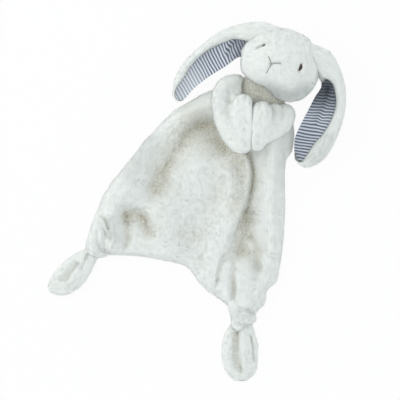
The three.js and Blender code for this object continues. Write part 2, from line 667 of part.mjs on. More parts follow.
// The ears' parts, each rooted on the side of the head and cut back so that it clears the head as it lifts
const EARS = {
  left_ear: {
    rootShare: [-0.965, 0.1],
    rows: LEFT_EAR_SHARES,
    hingeShare: [0.29, 0.957],
    liftDeg: LEFT_EAR_LIFT_DEG,
  },
  right_ear: {
    rootShare: [0.8, 0.56],
    rows: RIGHT_EAR_SHARES,
    hingeShare: [-0.98, 0.19],
    liftDeg: RIGHT_EAR_LIFT_DEG,
  },
};
const LIFT_SHARES = [0, 0.5, 1];
const grownHead = headSolid(-EAR_ROOT_GAP);
for (const [name, { rootShare, rows, hingeShare, liftDeg }] of Object.entries(EARS)) {
  const root = headPlace(rootShare[0] * HEAD_WIDTH / 2, rootShare[1] * HEAD_HEIGHT / 2, 0).setZ(EAR_ROOT_HEIGHT);
  const hinge = new THREE.Vector3(hingeShare[0], hingeShare[1], 0).normalize();
  const relief = LIFT_SHARES.map((share) => turned(grownHead, root, hinge, -share * liftDeg))
    .reduce((joined, head) => joined.add(head));
  const stations = earStations(rows, root);
  addPart(`${name}_back`, earBackSolid(stations).subtract(relief), FINISHES.plush);
  addPart(`${name}_lining`, earLiningSolid(stations).subtract(relief), FINISHES.ticking);
}

// The arms' parts, each cut by the neck, its thread and the head. The left arm is dented by the right.
const armCuts = grownNeck.add(neckThreadSolid(JOINT_GAP)).add(headSolid(-JOINT_GAP));
const armBodies = {
  left: (inset) => armSolid(ARM_SHARES.left, inset).subtract(armSolid(ARM_SHARES.right, -FIT_GAP - inset)),
  right: (inset) => armSolid(ARM_SHARES.right, inset),
};
for (const [side, armBody] of Object.entries(armBodies)) {
  const pocket = armBody(ARM_COVER_THICKNESS).add(shoulderOpening(ARM_SHARES[side], ARM_COVER_THICKNESS));
  const cover = armBody(0).subtract(pocket).subtract(armCuts).subtract(pawStitchSolid(FIT_GAP));
  addPart(`${side}_arm_cover`, cover, FINISHES.plush);
  const filling = armBody(ARM_COVER_THICKNESS + FIT_GAP).subtract(armCuts);
  addPart(`${side}_arm_filling`, filling.subtract(pawStitchSolid(FIT_GAP)), FINISHES.fibre);
}
addPart('paw_tack_stitch', pawStitchSolid(0), FINISHES.neckThread);

// The blanket's parts
const grid = blanketGrid();
const knots = Object.entries(CORNERS);
const panelCuts = knots.reduce(
  (cuts, [, corner]) => cuts.add(ball(knotCentre(corner), KNOT_RADIUS + JOINT_GAP)),
  headSolid(-JOINT_GAP),
);
addPart('blanket_back_panel', backPanelSolid(grid).subtract(panelCuts), FINISHES.backing);
addPart('blanket_front_panel', frontPanelSolid(grid).subtract(panelCuts).subtract(grownNeck), FINISHES.plush);
for (const [side, corner] of knots) {
  addPart(`${side}_corner_knot`, knotSolid(corner, 0), FINISHES.plush);
  addPart(`${side}_corner_tail`, tailSolid(corner), FINISHES.plush);
}

export default toy;
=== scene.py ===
# A rabbit comfort blanket of white plush, lying on its back and seen from straight above.
# Sizes are millimetres unless a name says otherwise, and MM turns them to Blender's metres.

import math

import bpy
import numpy as np
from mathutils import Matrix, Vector


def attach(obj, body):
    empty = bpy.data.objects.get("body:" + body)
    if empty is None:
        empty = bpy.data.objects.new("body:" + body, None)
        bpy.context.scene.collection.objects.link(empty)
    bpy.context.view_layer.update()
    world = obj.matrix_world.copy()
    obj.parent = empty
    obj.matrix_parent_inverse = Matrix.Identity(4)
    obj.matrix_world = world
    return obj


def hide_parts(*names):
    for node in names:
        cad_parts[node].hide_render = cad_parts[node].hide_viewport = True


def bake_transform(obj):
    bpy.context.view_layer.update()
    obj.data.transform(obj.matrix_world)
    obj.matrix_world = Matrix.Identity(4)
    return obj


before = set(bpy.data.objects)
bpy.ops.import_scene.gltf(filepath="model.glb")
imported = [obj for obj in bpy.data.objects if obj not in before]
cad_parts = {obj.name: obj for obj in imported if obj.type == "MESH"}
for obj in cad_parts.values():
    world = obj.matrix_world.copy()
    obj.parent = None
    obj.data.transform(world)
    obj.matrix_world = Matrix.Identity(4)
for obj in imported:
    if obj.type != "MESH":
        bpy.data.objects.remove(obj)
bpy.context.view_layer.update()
MM = 0.001

# Table, daylight and camera
# The toy was laid on a white table under a large soft window light from its left,
# and photographed from straight above through a long lens.

CAMERA_HEIGHT = 5000
VIEW_WIDTH = 400
SENSOR_WIDTH = 36
MID_HEIGHT = 30
VIEW_CENTRE = (3, 2)
TABLE_WIDTH = 6000
WINDOW_SIZE = 1500
WINDOW_DISTANCE = 1900
WINDOW_WATTS = 6.5
WINDOW_AIM_DEG = (50, 160)
SKY_STRENGTH = (1.1, 0.81)
WHITE_SHARE = 0.93
SEES_TO_METRES = 100


def linear(hex_colour):
    """An sRGB hex colour as a linear one, opaque."""
    values = [int(hex_colour[i : i + 2], 16) / 255 for i in (1, 3, 5)]
    return [v / 12.92 if v <= 0.04045 else ((v + 0.055) / 1.055) ** 2.4 for v in values] + [1.0]


def add_node(tree, kind, inputs=None, stops=(), **settings):
    """A shader node with its settings, its colour ramp's stops, and its inputs as values or as links."""
    made = tree.nodes.new("ShaderNode" + kind)
    for name, value in settings.items():
        setattr(made, name, value)
    for k, (position, colour) in enumerate(stops):
        made.color_ramp.elements[k].position = position
        made.color_ramp.elements[k].color = linear(colour)
    for socket, value in (inputs or {}).items():
        if isinstance(value, bpy.types.NodeSocket):
            tree.links.new(value, made.inputs[socket])
        else:
            made.inputs[socket].default_value = value
    return made


def new_material(name):
    material = bpy.data.materials.new(name)
    material.use_nodes = True
    material.node_tree.nodes.clear()
    return material, material.node_tree


def seen_directly(tree):
    """1 where the camera or a reflection sees the surface itself, and 0 for the light that it sends."""
    path = add_node(tree, "LightPath").outputs
    seen = path["Is Camera Ray"]
    for ray in ("Is Glossy Ray", "Is Transmission Ray"):
        seen = add_node(tree, "Math", {0: seen, 1: path[ray]}, operation="MAXIMUM").outputs[0]
    return seen


def add_object(name, data):
    made = bpy.data.objects.new(name, data)
    bpy.context.scene.collection.objects.link(made)
    return made


# Painted board: matt, and seen directly it is nearly plain white, with a faint shadow left under the toy
table_white, tree = new_material("painted_table")
lit = add_node(tree, "BsdfDiffuse", {"Color": linear("#fafaf9")})
shown = add_node(tree, "Emission", {"Color": linear("#ffffff"), "Strength": 1.0})
share = add_node(tree, "Math", {0: seen_directly(tree), 1: WHITE_SHARE}, operation="MULTIPLY")
mixed = add_node(tree, "MixShader", {0: share.outputs[0], 1: lit.outputs[0], 2: shown.outputs[0]})
add_node(tree, "OutputMaterial", {"Surface": mixed.outputs[0]})

table_mesh = bpy.data.meshes.new("table")
half_table = TABLE_WIDTH * MM / 2
table_mesh.from_pydata([(-half_table, -half_table, 0), (half_table, -half_table, 0),
                        (half_table, half_table, 0), (-half_table, half_table, 0)], [], [(0, 1, 2, 3)])
table_mesh.materials.append(table_white)
table = add_object("table", table_mesh)

world = bpy.data.worlds.new("daylight")
world.use_nodes = True
tree = world.node_tree
tree.nodes.clear()
# White walls all round are a little brighter than the ceiling
upward = add_node(tree, "SeparateXYZ", {"Vector": add_node(tree, "TexCoord").outputs["Generated"]})
level = add_node(tree, "MapRange", {
    "Value": upward.outputs["Z"], "To Min": SKY_STRENGTH[0], "To Max": SKY_STRENGTH[1]})
sky = add_node(tree, "Background", {"Color": linear("#f2f9fc"), "Strength": level.outputs[0]})
paper = add_node(tree, "Background", {"Color": linear("#ffffff"), "Strength": 1.0})
mixed = add_node(tree, "MixShader", {0: seen_directly(tree), 1: sky.outputs[0], 2: paper.outputs[0]})
add_node(tree, "OutputWorld", {"Surface": mixed.outputs[0]})
bpy.context.scene.world = world
bpy.context.scene.view_settings.view_transform = "Standard"

window_light = bpy.data.lights.new("window", "AREA")
window_light.shape = "DISK"
window_light.size = WINDOW_SIZE * MM
window_light.energy = WINDOW_WATTS
window_light.color = linear("#fffdf6")[:3]
window = add_object("window", window_light)
from_zenith, from_right = (math.radians(a) for a in WINDOW_AIM_DEG)
toward_window = Vector((math.sin(from_zenith) * math.cos(from_right),
                        math.sin(from_zenith) * math.sin(from_right), math.cos(from_zenith)))
window.location = toward_window * WINDOW_DISTANCE * MM
window.rotation_euler = toward_window.to_track_quat("Z", "Y").to_euler()

camera = add_object("camera", bpy.data.cameras.new("camera"))
camera.data.sensor_width = SENSOR_WIDTH
camera.data.lens = SENSOR_WIDTH * (CAMERA_HEIGHT - MID_HEIGHT) / VIEW_WIDTH
camera.data.clip_end = SEES_TO_METRES
camera.location = (VIEW_CENTRE[0] * MM, VIEW_CENTRE[1] * MM, CAMERA_HEIGHT * MM)
bpy.context.scene.camera = camera

# Blanket
# Two layers of short white plush, sewn together round the hem. The front layer lies in folds
# that run down from the neck, and the back layer lies flat on the table.

PHOTO_ORIGIN = (197, 202)
PLUSH_THICKNESS = 2.4
LINE_STEPS = 24


def spot(across, down, height=0):
    """A place in metres, from the photograph's pixels, which are 1 mm apart, and a height in mm."""
    return np.array([across - PHOTO_ORIGIN[0], PHOTO_ORIGIN[1] - down, height], float) * MM


def line_of(points, closed=False):
    """Pixel points, with heights in mm or without, as places in metres."""
    places = np.array([spot(*p) for p in points])
    return np.vstack([places, places[:1]]) if closed else places


def lengths_along(places):
    """How far each place of a route is from its start."""
    return np.concatenate([[0], np.cumsum(np.linalg.norm(np.diff(places, axis=0), axis=1))])


def curve(points, count):
    """An even run of places along a smooth curve through the points."""
    p = np.asarray(points, float)
    ends = np.vstack([2 * p[0] - p[1], p, 2 * p[-1] - p[-2]])
    t = np.linspace(0, 1, 16, endpoint=False)[:, None]
    runs = []
    for a, b, c, d in zip(ends, ends[1:], ends[2:], ends[3:]):
        runs.append(0.5 * (2 * b + (c - a) * t + (2 * a - 5 * b + 4 * c - d) * t**2
                           + (3 * b - a - 3 * c + d) * t**3))
    fine = np.vstack([*runs, p[-1:]])
    along = lengths_along(fine)
    even = np.linspace(0, along[-1], count)
    return np.column_stack([np.interp(even, along, fine[:, k]) for k in range(p.shape[1])])


def near_line(points, line):
    """Distance to a line seen from above, and the side of it that a point is on."""
    p, a = points[:, None, :2], line[None, :-1, :2]
    step = line[None, 1:, :2] - a
    share = np.clip(((p - a) * step).sum(-1) / (step**2).sum(-1), 0, 1)
    off = p - (a + share[..., None] * step)
    far = np.linalg.norm(off, axis=-1)
    nearest = (np.arange(len(points)), far.argmin(1))
    step, off = np.broadcast_to(step, off.shape)[nearest], off[nearest]
    return far[nearest], np.sign(step[:, 0] * off[:, 1] - step[:, 1] * off[:, 0])


def bell(far, width):
    return np.exp(-((far / width) ** 2))


def stroke(points, line, width, height):
    """A soft ridge, or a groove where height is below 0, along pixel points."""
    far, _ = near_line(points, curve(line_of(line), LINE_STEPS))
    return height * MM * bell(far, width * MM)


def strokes(points, rows):
    """Ridges and grooves together: rows are pixel points, width and height."""
    return sum((stroke(points, *row) for row in rows), np.zeros(len(points)))


def step_down(points, line, width, height, reach, side):
    """Cloth that stands up to height on one side of the line and ends there in a short steep edge."""
    far, where = near_line(points, curve(line_of(line), LINE_STEPS))
    edge = 0.5 * bell(far, width * MM)
    return height * MM * np.where(where * side > 0, bell(far, reach * MM) - edge, edge)


def cell_number(cell, seed):
    """A number from 0 to 1 for each cell of a lattice, the same at each run. Large primes scatter them."""
    n = cell[..., 0] * 73856093 ^ cell[..., 1] * 19349663 ^ cell[..., 2] * 83492791 ^ (seed + 1) * 26544357
    n = (n ^ (n >> 13)) * 1274126177
    return ((n ^ (n >> 16)) & 0xFFFFFF) / 0xFFFFFF


def wobble(points, size, seed):
    """Smooth noise from -1 to 1, with lumps of about size mm."""
    place = points / (size * MM) + 100
    cell = np.floor(place).astype(np.int64)
    f = place - cell
    f = f * f * (3 - 2 * f)
    total = 0
    for corner in np.ndindex(2, 2, 2):
        c = np.array(corner)
        total = total + np.prod(np.where(c, f, 1 - f), axis=-1) * cell_number(cell + c, seed)
    return 2 * total - 1


def solid_from(name, points, faces, material):
    """An object from places and faces that all have the same number of corners."""
    points, faces = np.asarray(points, np.float32), np.asarray(faces, np.int32)
    mesh = bpy.data.meshes.new(name)
    mesh.vertices.add(len(points))
    mesh.vertices.foreach_set("co", points.ravel())
    mesh.loops.add(faces.size)
    mesh.loops.foreach_set("vertex_index", faces.ravel())
    mesh.polygons.add(len(faces))
    mesh.polygons.foreach_set("loop_start", np.arange(0, faces.size, faces.shape[1], dtype=np.int32))
    mesh.polygons.foreach_set("use_smooth", np.ones(len(faces), bool))
    mesh.update(calc_edges=True)
    mesh.materials.append(material)
    return add_object(name, mesh)


def stands_for(piece, body, slot, *nodes):
    """The piece moves with a body and is shown in place of CAD nodes. The slot is not used."""
    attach(piece, body)
    if nodes:
        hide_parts(*nodes)


def read_all(parts, name, size, kind=np.int32):
    """One property of all the parts of a mesh, as rows of that size."""
    values = np.empty(len(parts) * size, kind)
    parts.foreach_get(name, values)
    return values.reshape(-1, size)


def read_mesh(obj):
    """Places and normals of a mesh."""
    return (read_all(obj.data.vertices, "co", 3, np.float32).astype(float),
            read_all(obj.data.vertex_normals, "vector", 3, np.float32).astype(float))


def move_mesh(obj, points):
    obj.data.vertices.foreach_set("co", points.astype(np.float32).ravel())
    obj.data.update()


def mark(obj, name, values):
    """Gives each place a number that its material or its pile reads, such as how much shade is painted there
    or how bare it is.
    """
    obj.data.attributes.new(name, "FLOAT", "POINT").data.foreach_set("value", np.asarray(values, np.float32))


def read_mark(obj, name):
    """A mark's numbers, or zeros where a skin was never given that mark."""
    if name not in obj.data.attributes:
        return np.zeros(len(obj.data.vertices), np.float32)
    return read_all(obj.data.attributes[name].data, "value", 1, np.float32)[:, 0]


def paint_shade_in_hollows(obj, reach=12.0, wide=0.15, fine=0.05, extra_painted_shade=0.0):
    """Marks where beige shade is painted: on places that lie below the cloth round them, and on extra marks
    of painted shade.
    """
    points, normals = read_mesh(obj)
    a, b = read_all(obj.data.edges, "vertices", 2).T
    count, step = len(points), np.median(np.linalg.norm(points[a] - points[b], axis=1))
    beside = (np.bincount(a, minlength=count) + np.bincount(b, minlength=count))[:, None]
    mean, deep = points.copy(), np.zeros(count)
    rounds = int(2 * (reach * MM / step) ** 2)
    for k in range(rounds):
        sums = [np.bincount(a, mean[b, n], count) + np.bincount(b, mean[a, n], count) for n in range(3)]
        mean = 0.5 * mean + 0.5 * np.stack(sums, 1) / beside
        if k in (rounds // 16, rounds - 1):
            share = wide if k == rounds - 1 else fine
            deep += share * np.maximum(((mean - points) * normals).sum(1), 0) / MM
    mark(obj, "painted_shade", np.clip(extra_painted_shade + deep, 0, 1))


def plush_material(name, tip, root, painted_shade, painted_grey, glow=0.0):
    """Polyester plush: matt and pale, with shade painted into its colour: speckled beige in hollows and
    shadowed places, and grey on shaded flanks.
    """
    material, tree = new_material(name)
    place = add_node(tree, "TexCoord").outputs["Object"]
    shade, deep, grey_shade_share = (add_node(tree, "Attribute", attribute_name=mark_name).outputs["Fac"]
                                 for mark_name in ("pile_shade", "painted_shade", "painted_grey_shade"))
    # Tufts about 6 mm across, patches of 30 mm, specks of 1.6 mm and fluff of 1.1 mm
    tuft, patch, grain, fluff = (
        add_node(tree, "TexNoise", {"Vector": place, "Scale": scale, "Detail": detail}).outputs["Fac"]
        for scale, detail in ((180.0, 3.0), (34.0, 2.0), (620.0, 2.0), (900.0, 2.0)))
    grey = add_node(tree, "Math", {0: tuft, 1: patch}, operation="ADD")
    depth = add_node(tree, "Math", {0: grey.outputs[0], 1: 0.42, 2: shade}, operation="MULTIPLY_ADD")
    colours = add_node(tree, "ValToRGB", {"Fac": depth.outputs[0]}, stops=[(0.25, root), (1.1, tip)])
    speck = add_node(tree, "Math", {0: grain, 1: 3.0, 2: -0.5}, operation="MULTIPLY_ADD")
    # Painted shade: the shade mark blends the colour towards the speckled beige
    beige_shade_share = add_node(tree, "Math", {0: deep, 1: speck.outputs[0]}, operation="MULTIPLY", use_clamp=True)
    beige_shaded = add_node(tree, "Mix", {0: beige_shade_share.outputs[0], 6: colours.outputs["Color"], 7: linear(painted_shade)},
                    data_type="RGBA")
    # Painted shade: the grey mark blends the colour towards grey
    colour = add_node(tree, "Mix", {0: grey_shade_share, 6: beige_shaded.outputs[2], 7: linear(painted_grey)},
                      data_type="RGBA").outputs[2]
    bump = add_node(tree, "Bump", {"Height": fluff, "Strength": 0.25, "Distance": 0.0003})
    skin = add_node(tree, "BsdfPrincipled", {
        "Base Color": colour,
        "Roughness": 0.95,
        "Specular IOR Level": 0.08,
        "Sheen Weight": 0.9,
        "Sheen Roughness": 0.4,
        "Normal": bump.outputs["Normal"],
    })
    surface = skin.outputs[0]
    if glow:
        through = add_node(tree, "BsdfTranslucent", {"Color": colour})
        surface = add_node(tree, "MixShader", {0: glow, 1: surface, 2: through.outputs[0]}).outputs[0]
    add_node(tree, "OutputMaterial", {"Surface": surface})
    return material


# The third and fourth colours are the painted beige shade and the painted grey shade
plush = plush_material("short_pile_plush", "#fafdfb", "#f5f5ef", "#bfb7a0", "#babdba")
plush_fibre = plush_material("plush_pile_fibre", "#fdfffe", "#fafaf6", "#cbc3ae", "#c6c9c6", 0.5)


def turned(ways, turn):
    """Ways turned about the vertical, each by its own angle."""
    x, y, z = np.broadcast_to(ways, (len(turn), 3)).T
    return np.column_stack([x * np.cos(turn) - y * np.sin(turn), x * np.sin(turn) + y * np.cos(turn), z])


def down_the_toy(roots):
    """The way that the pile lies: away from the head, in slow swirls."""
    return turned([-0.5, -0.87, 0.0], 0.55 * wobble(roots, 30, 5))


def unit(vectors):
    return vectors / np.maximum(np.linalg.norm(vectors, axis=-1, keepdims=True), 1e-12)


SPIKE_ANGLES = np.radians([90, 210, 330])
SPIKE_FACES = np.array([(1, 0, 3), (2, 1, 3), (0, 2, 3), (0, 1, 2)])
# Real pile has thousands of fibres to the square centimetre: these are fewer and coarser, so that they show
FIBRES_PER_MM2 = 0.7
FIBRE_RADIUS = 0.3
BLADE_SHARE = 0.4
ROOT_SUNK = 0.5
STRAY = 0.22
TUFT_SIZE = 3.2
TUFT_PULL = 0.08
TABLE_CLEARANCE = 0.3
# The fibres are painted darker at the root than at the tip, as shade among them
ROOT_SHADE = 0.1
TIP_SHADE = (0.45, 0.2)


def add_pile(base, seed, comb=down_the_toy, shown=None, length=1.7, lift_deg=36):
    """Short tapered fibres over a finished skin. Each is a closed spike that leans the way the pile lies."""
    base.data.calc_loop_triangles()
    corners = read_all(base.data.loop_triangles, "vertices", 3)
    places, normals = read_mesh(base)
    ends = places[corners]
    area = np.linalg.norm(np.cross(ends[:, 1] - ends[:, 0], ends[:, 2] - ends[:, 0]), axis=1) / 2
    draw = np.random.default_rng(seed)
    count = int(area.sum() / MM**2 * FIBRES_PER_MM2)
    picked = draw.choice(len(area), count, p=area / area.sum())
    a, b = draw.random((2, count))
    a, b = np.where(a + b > 1, 1 - a, a), np.where(a + b > 1, 1 - b, b)
    weights = np.stack([1 - a - b, a, b], 1)[:, :, None]
    root = (ends[picked] * weights).sum(1)
    out = unit((normals[corners[picked]] * weights).sum(1))
    kept = shown(root, out) if shown else np.ones(count, bool)
    bare, deep, grey = ((read_mark(base, name)[corners[picked]] * weights[:, :, 0]).sum(1)
                        for name in ("bare", "painted_shade", "painted_grey_shade"))
    kept &= bare < 0.5
    root, out, deep, grey = (values[kept] for values in (root, out, deep, grey))
    count = len(root)
    lay = comb(root) + STRAY * draw.standard_normal((count, 3))
    lay = unit(lay - (lay * out).sum(1, keepdims=True) * out)
    lift = np.radians(lift_deg + 4 * wobble(root, 7, seed) + 4 * draw.standard_normal(count))[:, None]
    way = out * np.sin(lift) + lay * np.cos(lift)
    reach = length * MM * (0.8 + 0.4 * draw.random((count, 1)))
    tip = root + way * reach
    cell = np.floor(tip / (TUFT_SIZE * MM)).astype(np.int64)
    tuft = (cell + 0.2 + 0.6 * np.stack([cell_number(cell, seed + k) for k in range(3)], 1)) * TUFT_SIZE * MM
    tip = tip + TUFT_PULL * (tuft - tip)
    clear = tip[:, 2] > TABLE_CLEARANCE * MM
    root, out, tip, deep, grey = (values[clear] for values in (root, out, tip, deep, grey))
    count = len(root)
    way = unit(tip - root)
    side = unit(np.cross(way, out) + 1e-9)
    over = np.cross(side, way)
    thick = FIBRE_RADIUS * MM * (0.8 + 0.4 * draw.random((count, 1)))
    sunk = root - out * ROOT_SUNK * MM
    ring = [sunk + thick * (side * math.cos(g) + BLADE_SHARE * over * math.sin(g)) for g in SPIKE_ANGLES]
    points = np.stack([*ring, tip], 1).reshape(-1, 3)
    faces = (np.arange(count)[:, None, None] * 4 + SPIKE_FACES).reshape(-1, 3)
    made = solid_from(base.name + "_pile", points, faces, plush_fibre)
    round_way = [unit(r - sunk) for r in ring]
    soft = [unit(0.55 * out + 0.45 * r) for r in round_way] + [unit(0.85 * out + 0.15 * way)]
    made.data.normals_split_custom_set_from_vertices(np.stack(soft, 1).reshape(-1, 3).astype(np.float32))
    tip_shade = TIP_SHADE[0] + TIP_SHADE[1] * draw.random(count)
    mark(made, "pile_shade", np.stack([*[np.full(count, ROOT_SHADE)] * 3, tip_shade], 1).ravel())
    mark(made, "painted_shade", np.repeat(deep, 4))
    mark(made, "painted_grey_shade", np.repeat(grey, 4))
    return made


LEFT_EDGE = [(233, 94), (225, 89.6), (215, 89.2), (204, 93), (190, 101), (176, 109), (167, 117), (159, 125),
             (152, 133), (144, 141), (138, 149), (132, 157), (125, 165), (119, 173), (112, 181), (107, 189),
             (102, 197), (99, 205), (97, 212), (95, 220), (93, 228), (92, 236), (95, 243)]
HEM = [(95, 243), (104, 253.6), (118, 255.4), (134, 256), (148, 257.6), (164, 260.8), (176, 263),
       (186, 266.4), (192.4, 273), (199.4, 283), (207.6, 291.4), (217.6, 298), (228, 306), (241, 316)]
RIGHT_EDGE = [(277, 104), (285.4, 106), (291.6, 116), (294.6, 130), (294.2, 142), (291.8, 152), (286.6, 160),
              (285.2, 172), (285.2, 188), (285.5, 205), (285, 220), (284, 236), (282.5, 252), (280, 268),
              (277.5, 281), (272, 286.5), (267, 292), (266, 300), (262, 308), (252, 313), (241, 316)]
TOP_EDGE = [(233, 94), (246, 100), (262, 103.6), (277, 104)]
ROWS_DOWN = 200
COLUMNS_ACROSS = 170

left, right = curve(line_of(LEFT_EDGE), ROWS_DOWN), curve(line_of(RIGHT_EDGE), ROWS_DOWN)
top, hem = curve(line_of(TOP_EDGE), COLUMNS_ACROSS), curve(line_of(HEM), COLUMNS_ACROSS)
down = np.linspace(0, 1, ROWS_DOWN)[:, None, None]
across = np.linspace(0, 1, COLUMNS_ACROSS)[None, :, None]
grid = (left[:, None] * (1 - across) + right[:, None] * across + top[None] * (1 - down) + hem[None] * down
        - top[0] * (1 - down) * (1 - across) - top[-1] * (1 - down) * across
        - hem[0] * down * (1 - across) - hem[-1] * down * across)
flat_grid = grid.reshape(-1, 3)

outline = np.vstack([left, hem[1:], right[::-1][1:], top[::-1][1:]])


def soft_share(values, low, high):
    t = np.clip((values - low) / (high - low), 0, 1)
    return t * t * (3 - 2 * t)


SEAM_HEIGHT = 4.2
LOFT = 11
LEAST_LOFT = 2.5
EDGE_RADIUS = 8
SEAM_PINCH = 0.8
FOLDS = [
    # pixel points, width, and height above the cloth round it
    # the long roll down the left edge, the dome of the middle, and the roll down the right edge
    ([(218, 104), (190, 114), (160, 141), (137, 170), (120, 194), (112, 206)], 18, 8),
    ([(196, 162), (186, 190), (180, 218), (176, 240)], 24, 6),
    ([(232, 160), (234, 186), (226, 214), (214, 248)], 12, 6),
    ([(273, 138), (271.5, 170), (270.5, 200), (271, 225), (273, 250)], 11, 12),
    # the neck's fullness
    ([(246, 104), (256, 130), (262, 148)], 24, 8),
    # the long hollow between the left roll and the dome
    ([(216, 120), (197, 126), (181, 140), (170, 155), (161, 174), (156, 188)], 12, -5.5),
    ([(206, 122), (218, 130), (226, 146)], 11, -4),
    # the hollow that opens below the crease, and the folds round it
    ([(248, 214), (246, 228), (240, 250)], 9, -4.5),
    ([(252, 238), (261, 250), (269, 256), (279, 259)], 5, -3.2),
    ([(256, 254), (258, 268)], 4.5, -2.2),
    ([(232, 279), (232.5, 290), (232, 300)], 3.5, -1.6),
    ([(100, 216), (105, 220), (108.5, 229)], 1.5, -2.4),
    ([(226, 268), (226, 284), (229, 300)], 6, 3),
    ([(247, 268), (247, 288), (246, 306)], 9, 6),
    ([(268, 268), (266, 280), (260, 296)], 7, 4),
    # the puff beside the left knot, its shaded flank, and the hollow to its right
    ([(112, 216), (113, 232), (110, 246)], 8, 6),
    ([(125, 216), (127.5, 228), (127, 242), (123, 252)], 4.5, -3.2),
    ([(126, 212), (135, 212), (143, 216), (148, 225), (150, 233)], 6, -3.2),
    ([(128, 217), (141, 222)], 10, -3),
    ([(152, 214), (153, 228)], 4, 1.5),
    # small creases
    ([(207, 247), (203, 254), (199, 259)], 1.8, -1.8),
    ([(104, 233), (108, 236), (110, 240)], 2.2, -1.6),
    ([(136, 240), (138, 247)], 3, -1.2),
    ([(276, 208), (279, 214)], 2.4, -1.3),
]
# Painted beige shade in the arms' shadow, in the long hollows and round the creases: points, width and how
# beige it looks
BEIGE_SHADE_MARKS = [
    ([(196, 126), (214, 138), (234, 151)], 18, 0.42), ([(180, 142), (167, 160), (159, 184)], 13, 0.3),
    ([(128, 216), (140, 220), (148, 230)], 9, 0.3), ([(241, 165), (243, 188), (236, 208)], 10, 0.3),
    ([(246, 224), (244, 246), (254, 262)], 9, 0.25), ([(182, 232), (194, 236)], 8, 0.15),
    ([(234, 279), (234.5, 290), (234, 300)], 2.4, 0.1), ([(101, 216), (105, 221), (108.5, 229)], 1.6, 0.3),
]
# Nap brushed back, which looks grey
# Painted grey shade on shaded slopes of the folds: points, width and how grey it looks
GREY_SHADE_MARKS = [
    ([(152, 140), (141, 157), (130, 174)], 9, 0.34), ([(108, 222), (113, 236)], 6, 0.4),
    ([(176, 196), (182, 240)], 15, 0.16), ([(234, 168), (239, 198)], 7, 0.2),
    ([(256, 262), (258, 268)], 5, 0.2),
]
CREASE = [(246, 148), (251, 160), (253, 173), (251.5, 189), (248, 203), (243.5, 213)]
ROLL_EDGE = [(216, 117), (198, 121), (185, 131), (175, 145), (167, 160)]
SLOT_EDGE = [(236.4, 272), (236.8, 285), (236, 304)]
FREE_EDGE = [(243.5, 213), (235, 226), (229.5, 240), (224.5, 254), (220, 266), (217.4, 276)]


def fold_height(points):
    """Height of the front layer. Its edge at the seam is round, and fuller to the right and at the neck."""
    far, _ = near_line(points, outline)
    fuller = 5 * soft_share(points[:, 0], 0.035, 0.075), 3 * soft_share(points[:, 1], 0.02, 0.08)
    rise = np.clip(far / ((EDGE_RADIUS + fuller[0] + fuller[1]) * MM), 0, 1)
    rise = np.sqrt(np.clip(1 - (1 - rise) ** 2, 0, 1))
    height = LOFT * MM + strokes(points, FOLDS)
    height += step_down(points, CREASE, 2.2, 7, 11, -1) + stroke(points, CREASE, 2.6, -6)
    height += step_down(points, FREE_EDGE, 1.8, 5, 10, -1) + stroke(points, FREE_EDGE[-3:], 2.2, -2)
    height += step_down(points, SLOT_EDGE, 0.8, 3.2, 6, 1) + step_down(points, ROLL_EDGE, 2.2, 3, 9, -1)
    height += 1.1 * MM * wobble(points, 26, 2) + 0.5 * MM * wobble(points, 10, 3)
    return SEAM_HEIGHT * MM + rise * np.maximum(height, LEAST_LOFT * MM)


def grid_faces(rows, columns, first=0, flip=False):
    i, j = np.meshgrid(np.arange(rows - 1), np.arange(columns - 1), indexing="ij")
    here = (i * columns + j).ravel() + first
    faces = np.stack([here, here + columns, here + columns + 1, here + 1], 1)
    return faces[:, ::-1] if flip else faces


def rim(rows, columns):
    """The grid's edge, once round."""
    return np.concatenate([np.arange(columns - 1), np.arange(rows - 1) * columns + columns - 1,
                           (rows - 1) * columns + np.arange(columns - 1, 0, -1),
                           np.arange(rows - 1, 0, -1) * columns])


def shell_between(name, upper, lower, rows, columns, material):
    """A closed sheet of cloth between two grids of places, upper and lower."""
    edge = rim(rows, columns)
    beside = np.roll(edge, -1)
    count = rows * columns
    walls = np.stack([edge, beside, beside + count, edge + count], 1)
    faces = np.vstack([grid_faces(rows, columns), grid_faces(rows, columns, count, True), walls])
    return solid_from(name, np.vstack([upper, lower]), faces, material)


upper = flat_grid.copy()
upper[:, 2] = fold_height(flat_grid)
lower = upper.copy()
lower[:, 2] = np.maximum(upper[:, 2] - PLUSH_THICKNESS * MM, (SEAM_HEIGHT - SEAM_PINCH) * MM)
blanket = shell_between("blanket_front", upper, lower, ROWS_DOWN, COLUMNS_ACROSS, plush)
skin = np.vstack([upper, lower])
# Painted shade: beige in the hollows and the marked shadows, grey on the marked slopes
paint_shade_in_hollows(blanket, wide=0.1, extra_painted_shade=strokes(skin, BEIGE_SHADE_MARKS) / MM)
mark(blanket, "painted_grey_shade", strokes(skin, GREY_SHADE_MARKS) / MM)
stands_for(blanket, "root", "plush", "blanket_front_panel")
blanket_pile = add_pile(blanket, 11, shown=lambda root, out: out[:, 2] > -0.1)
stands_for(blanket_pile, "root", "plush")

# Back layer
# The same cut of plush, flat on the table under the folds, with its pile pressed down by the weight
# above. It is sewn to the front layer round the hem.

BACK_SHRINK = 0.985
BACK_THICKNESS = 3.0

centre = flat_grid.mean(0)
back_upper = centre + (flat_grid - centre) * BACK_SHRINK
back_lower = back_upper.copy()
back_upper[:, 2] = (BACK_THICKNESS + 0.25 * wobble(back_upper, 14, 31)) * MM
back_lower[:, 2] = (0.35 + 0.3 * wobble(back_lower, 12, 32)) * MM
blanket_back = shell_between("blanket_back", back_upper, back_lower, ROWS_DOWN, COLUMNS_ACROSS, plush)
stands_for(blanket_back, "root", "plush_backing", "blanket_back_panel")

# Neck
# The blanket's top edge is gathered round a stub that goes up into the head, and a ring of strong
# thread sunk in the plush draws the opening in. Only the shaded chest patch shows under the chin.

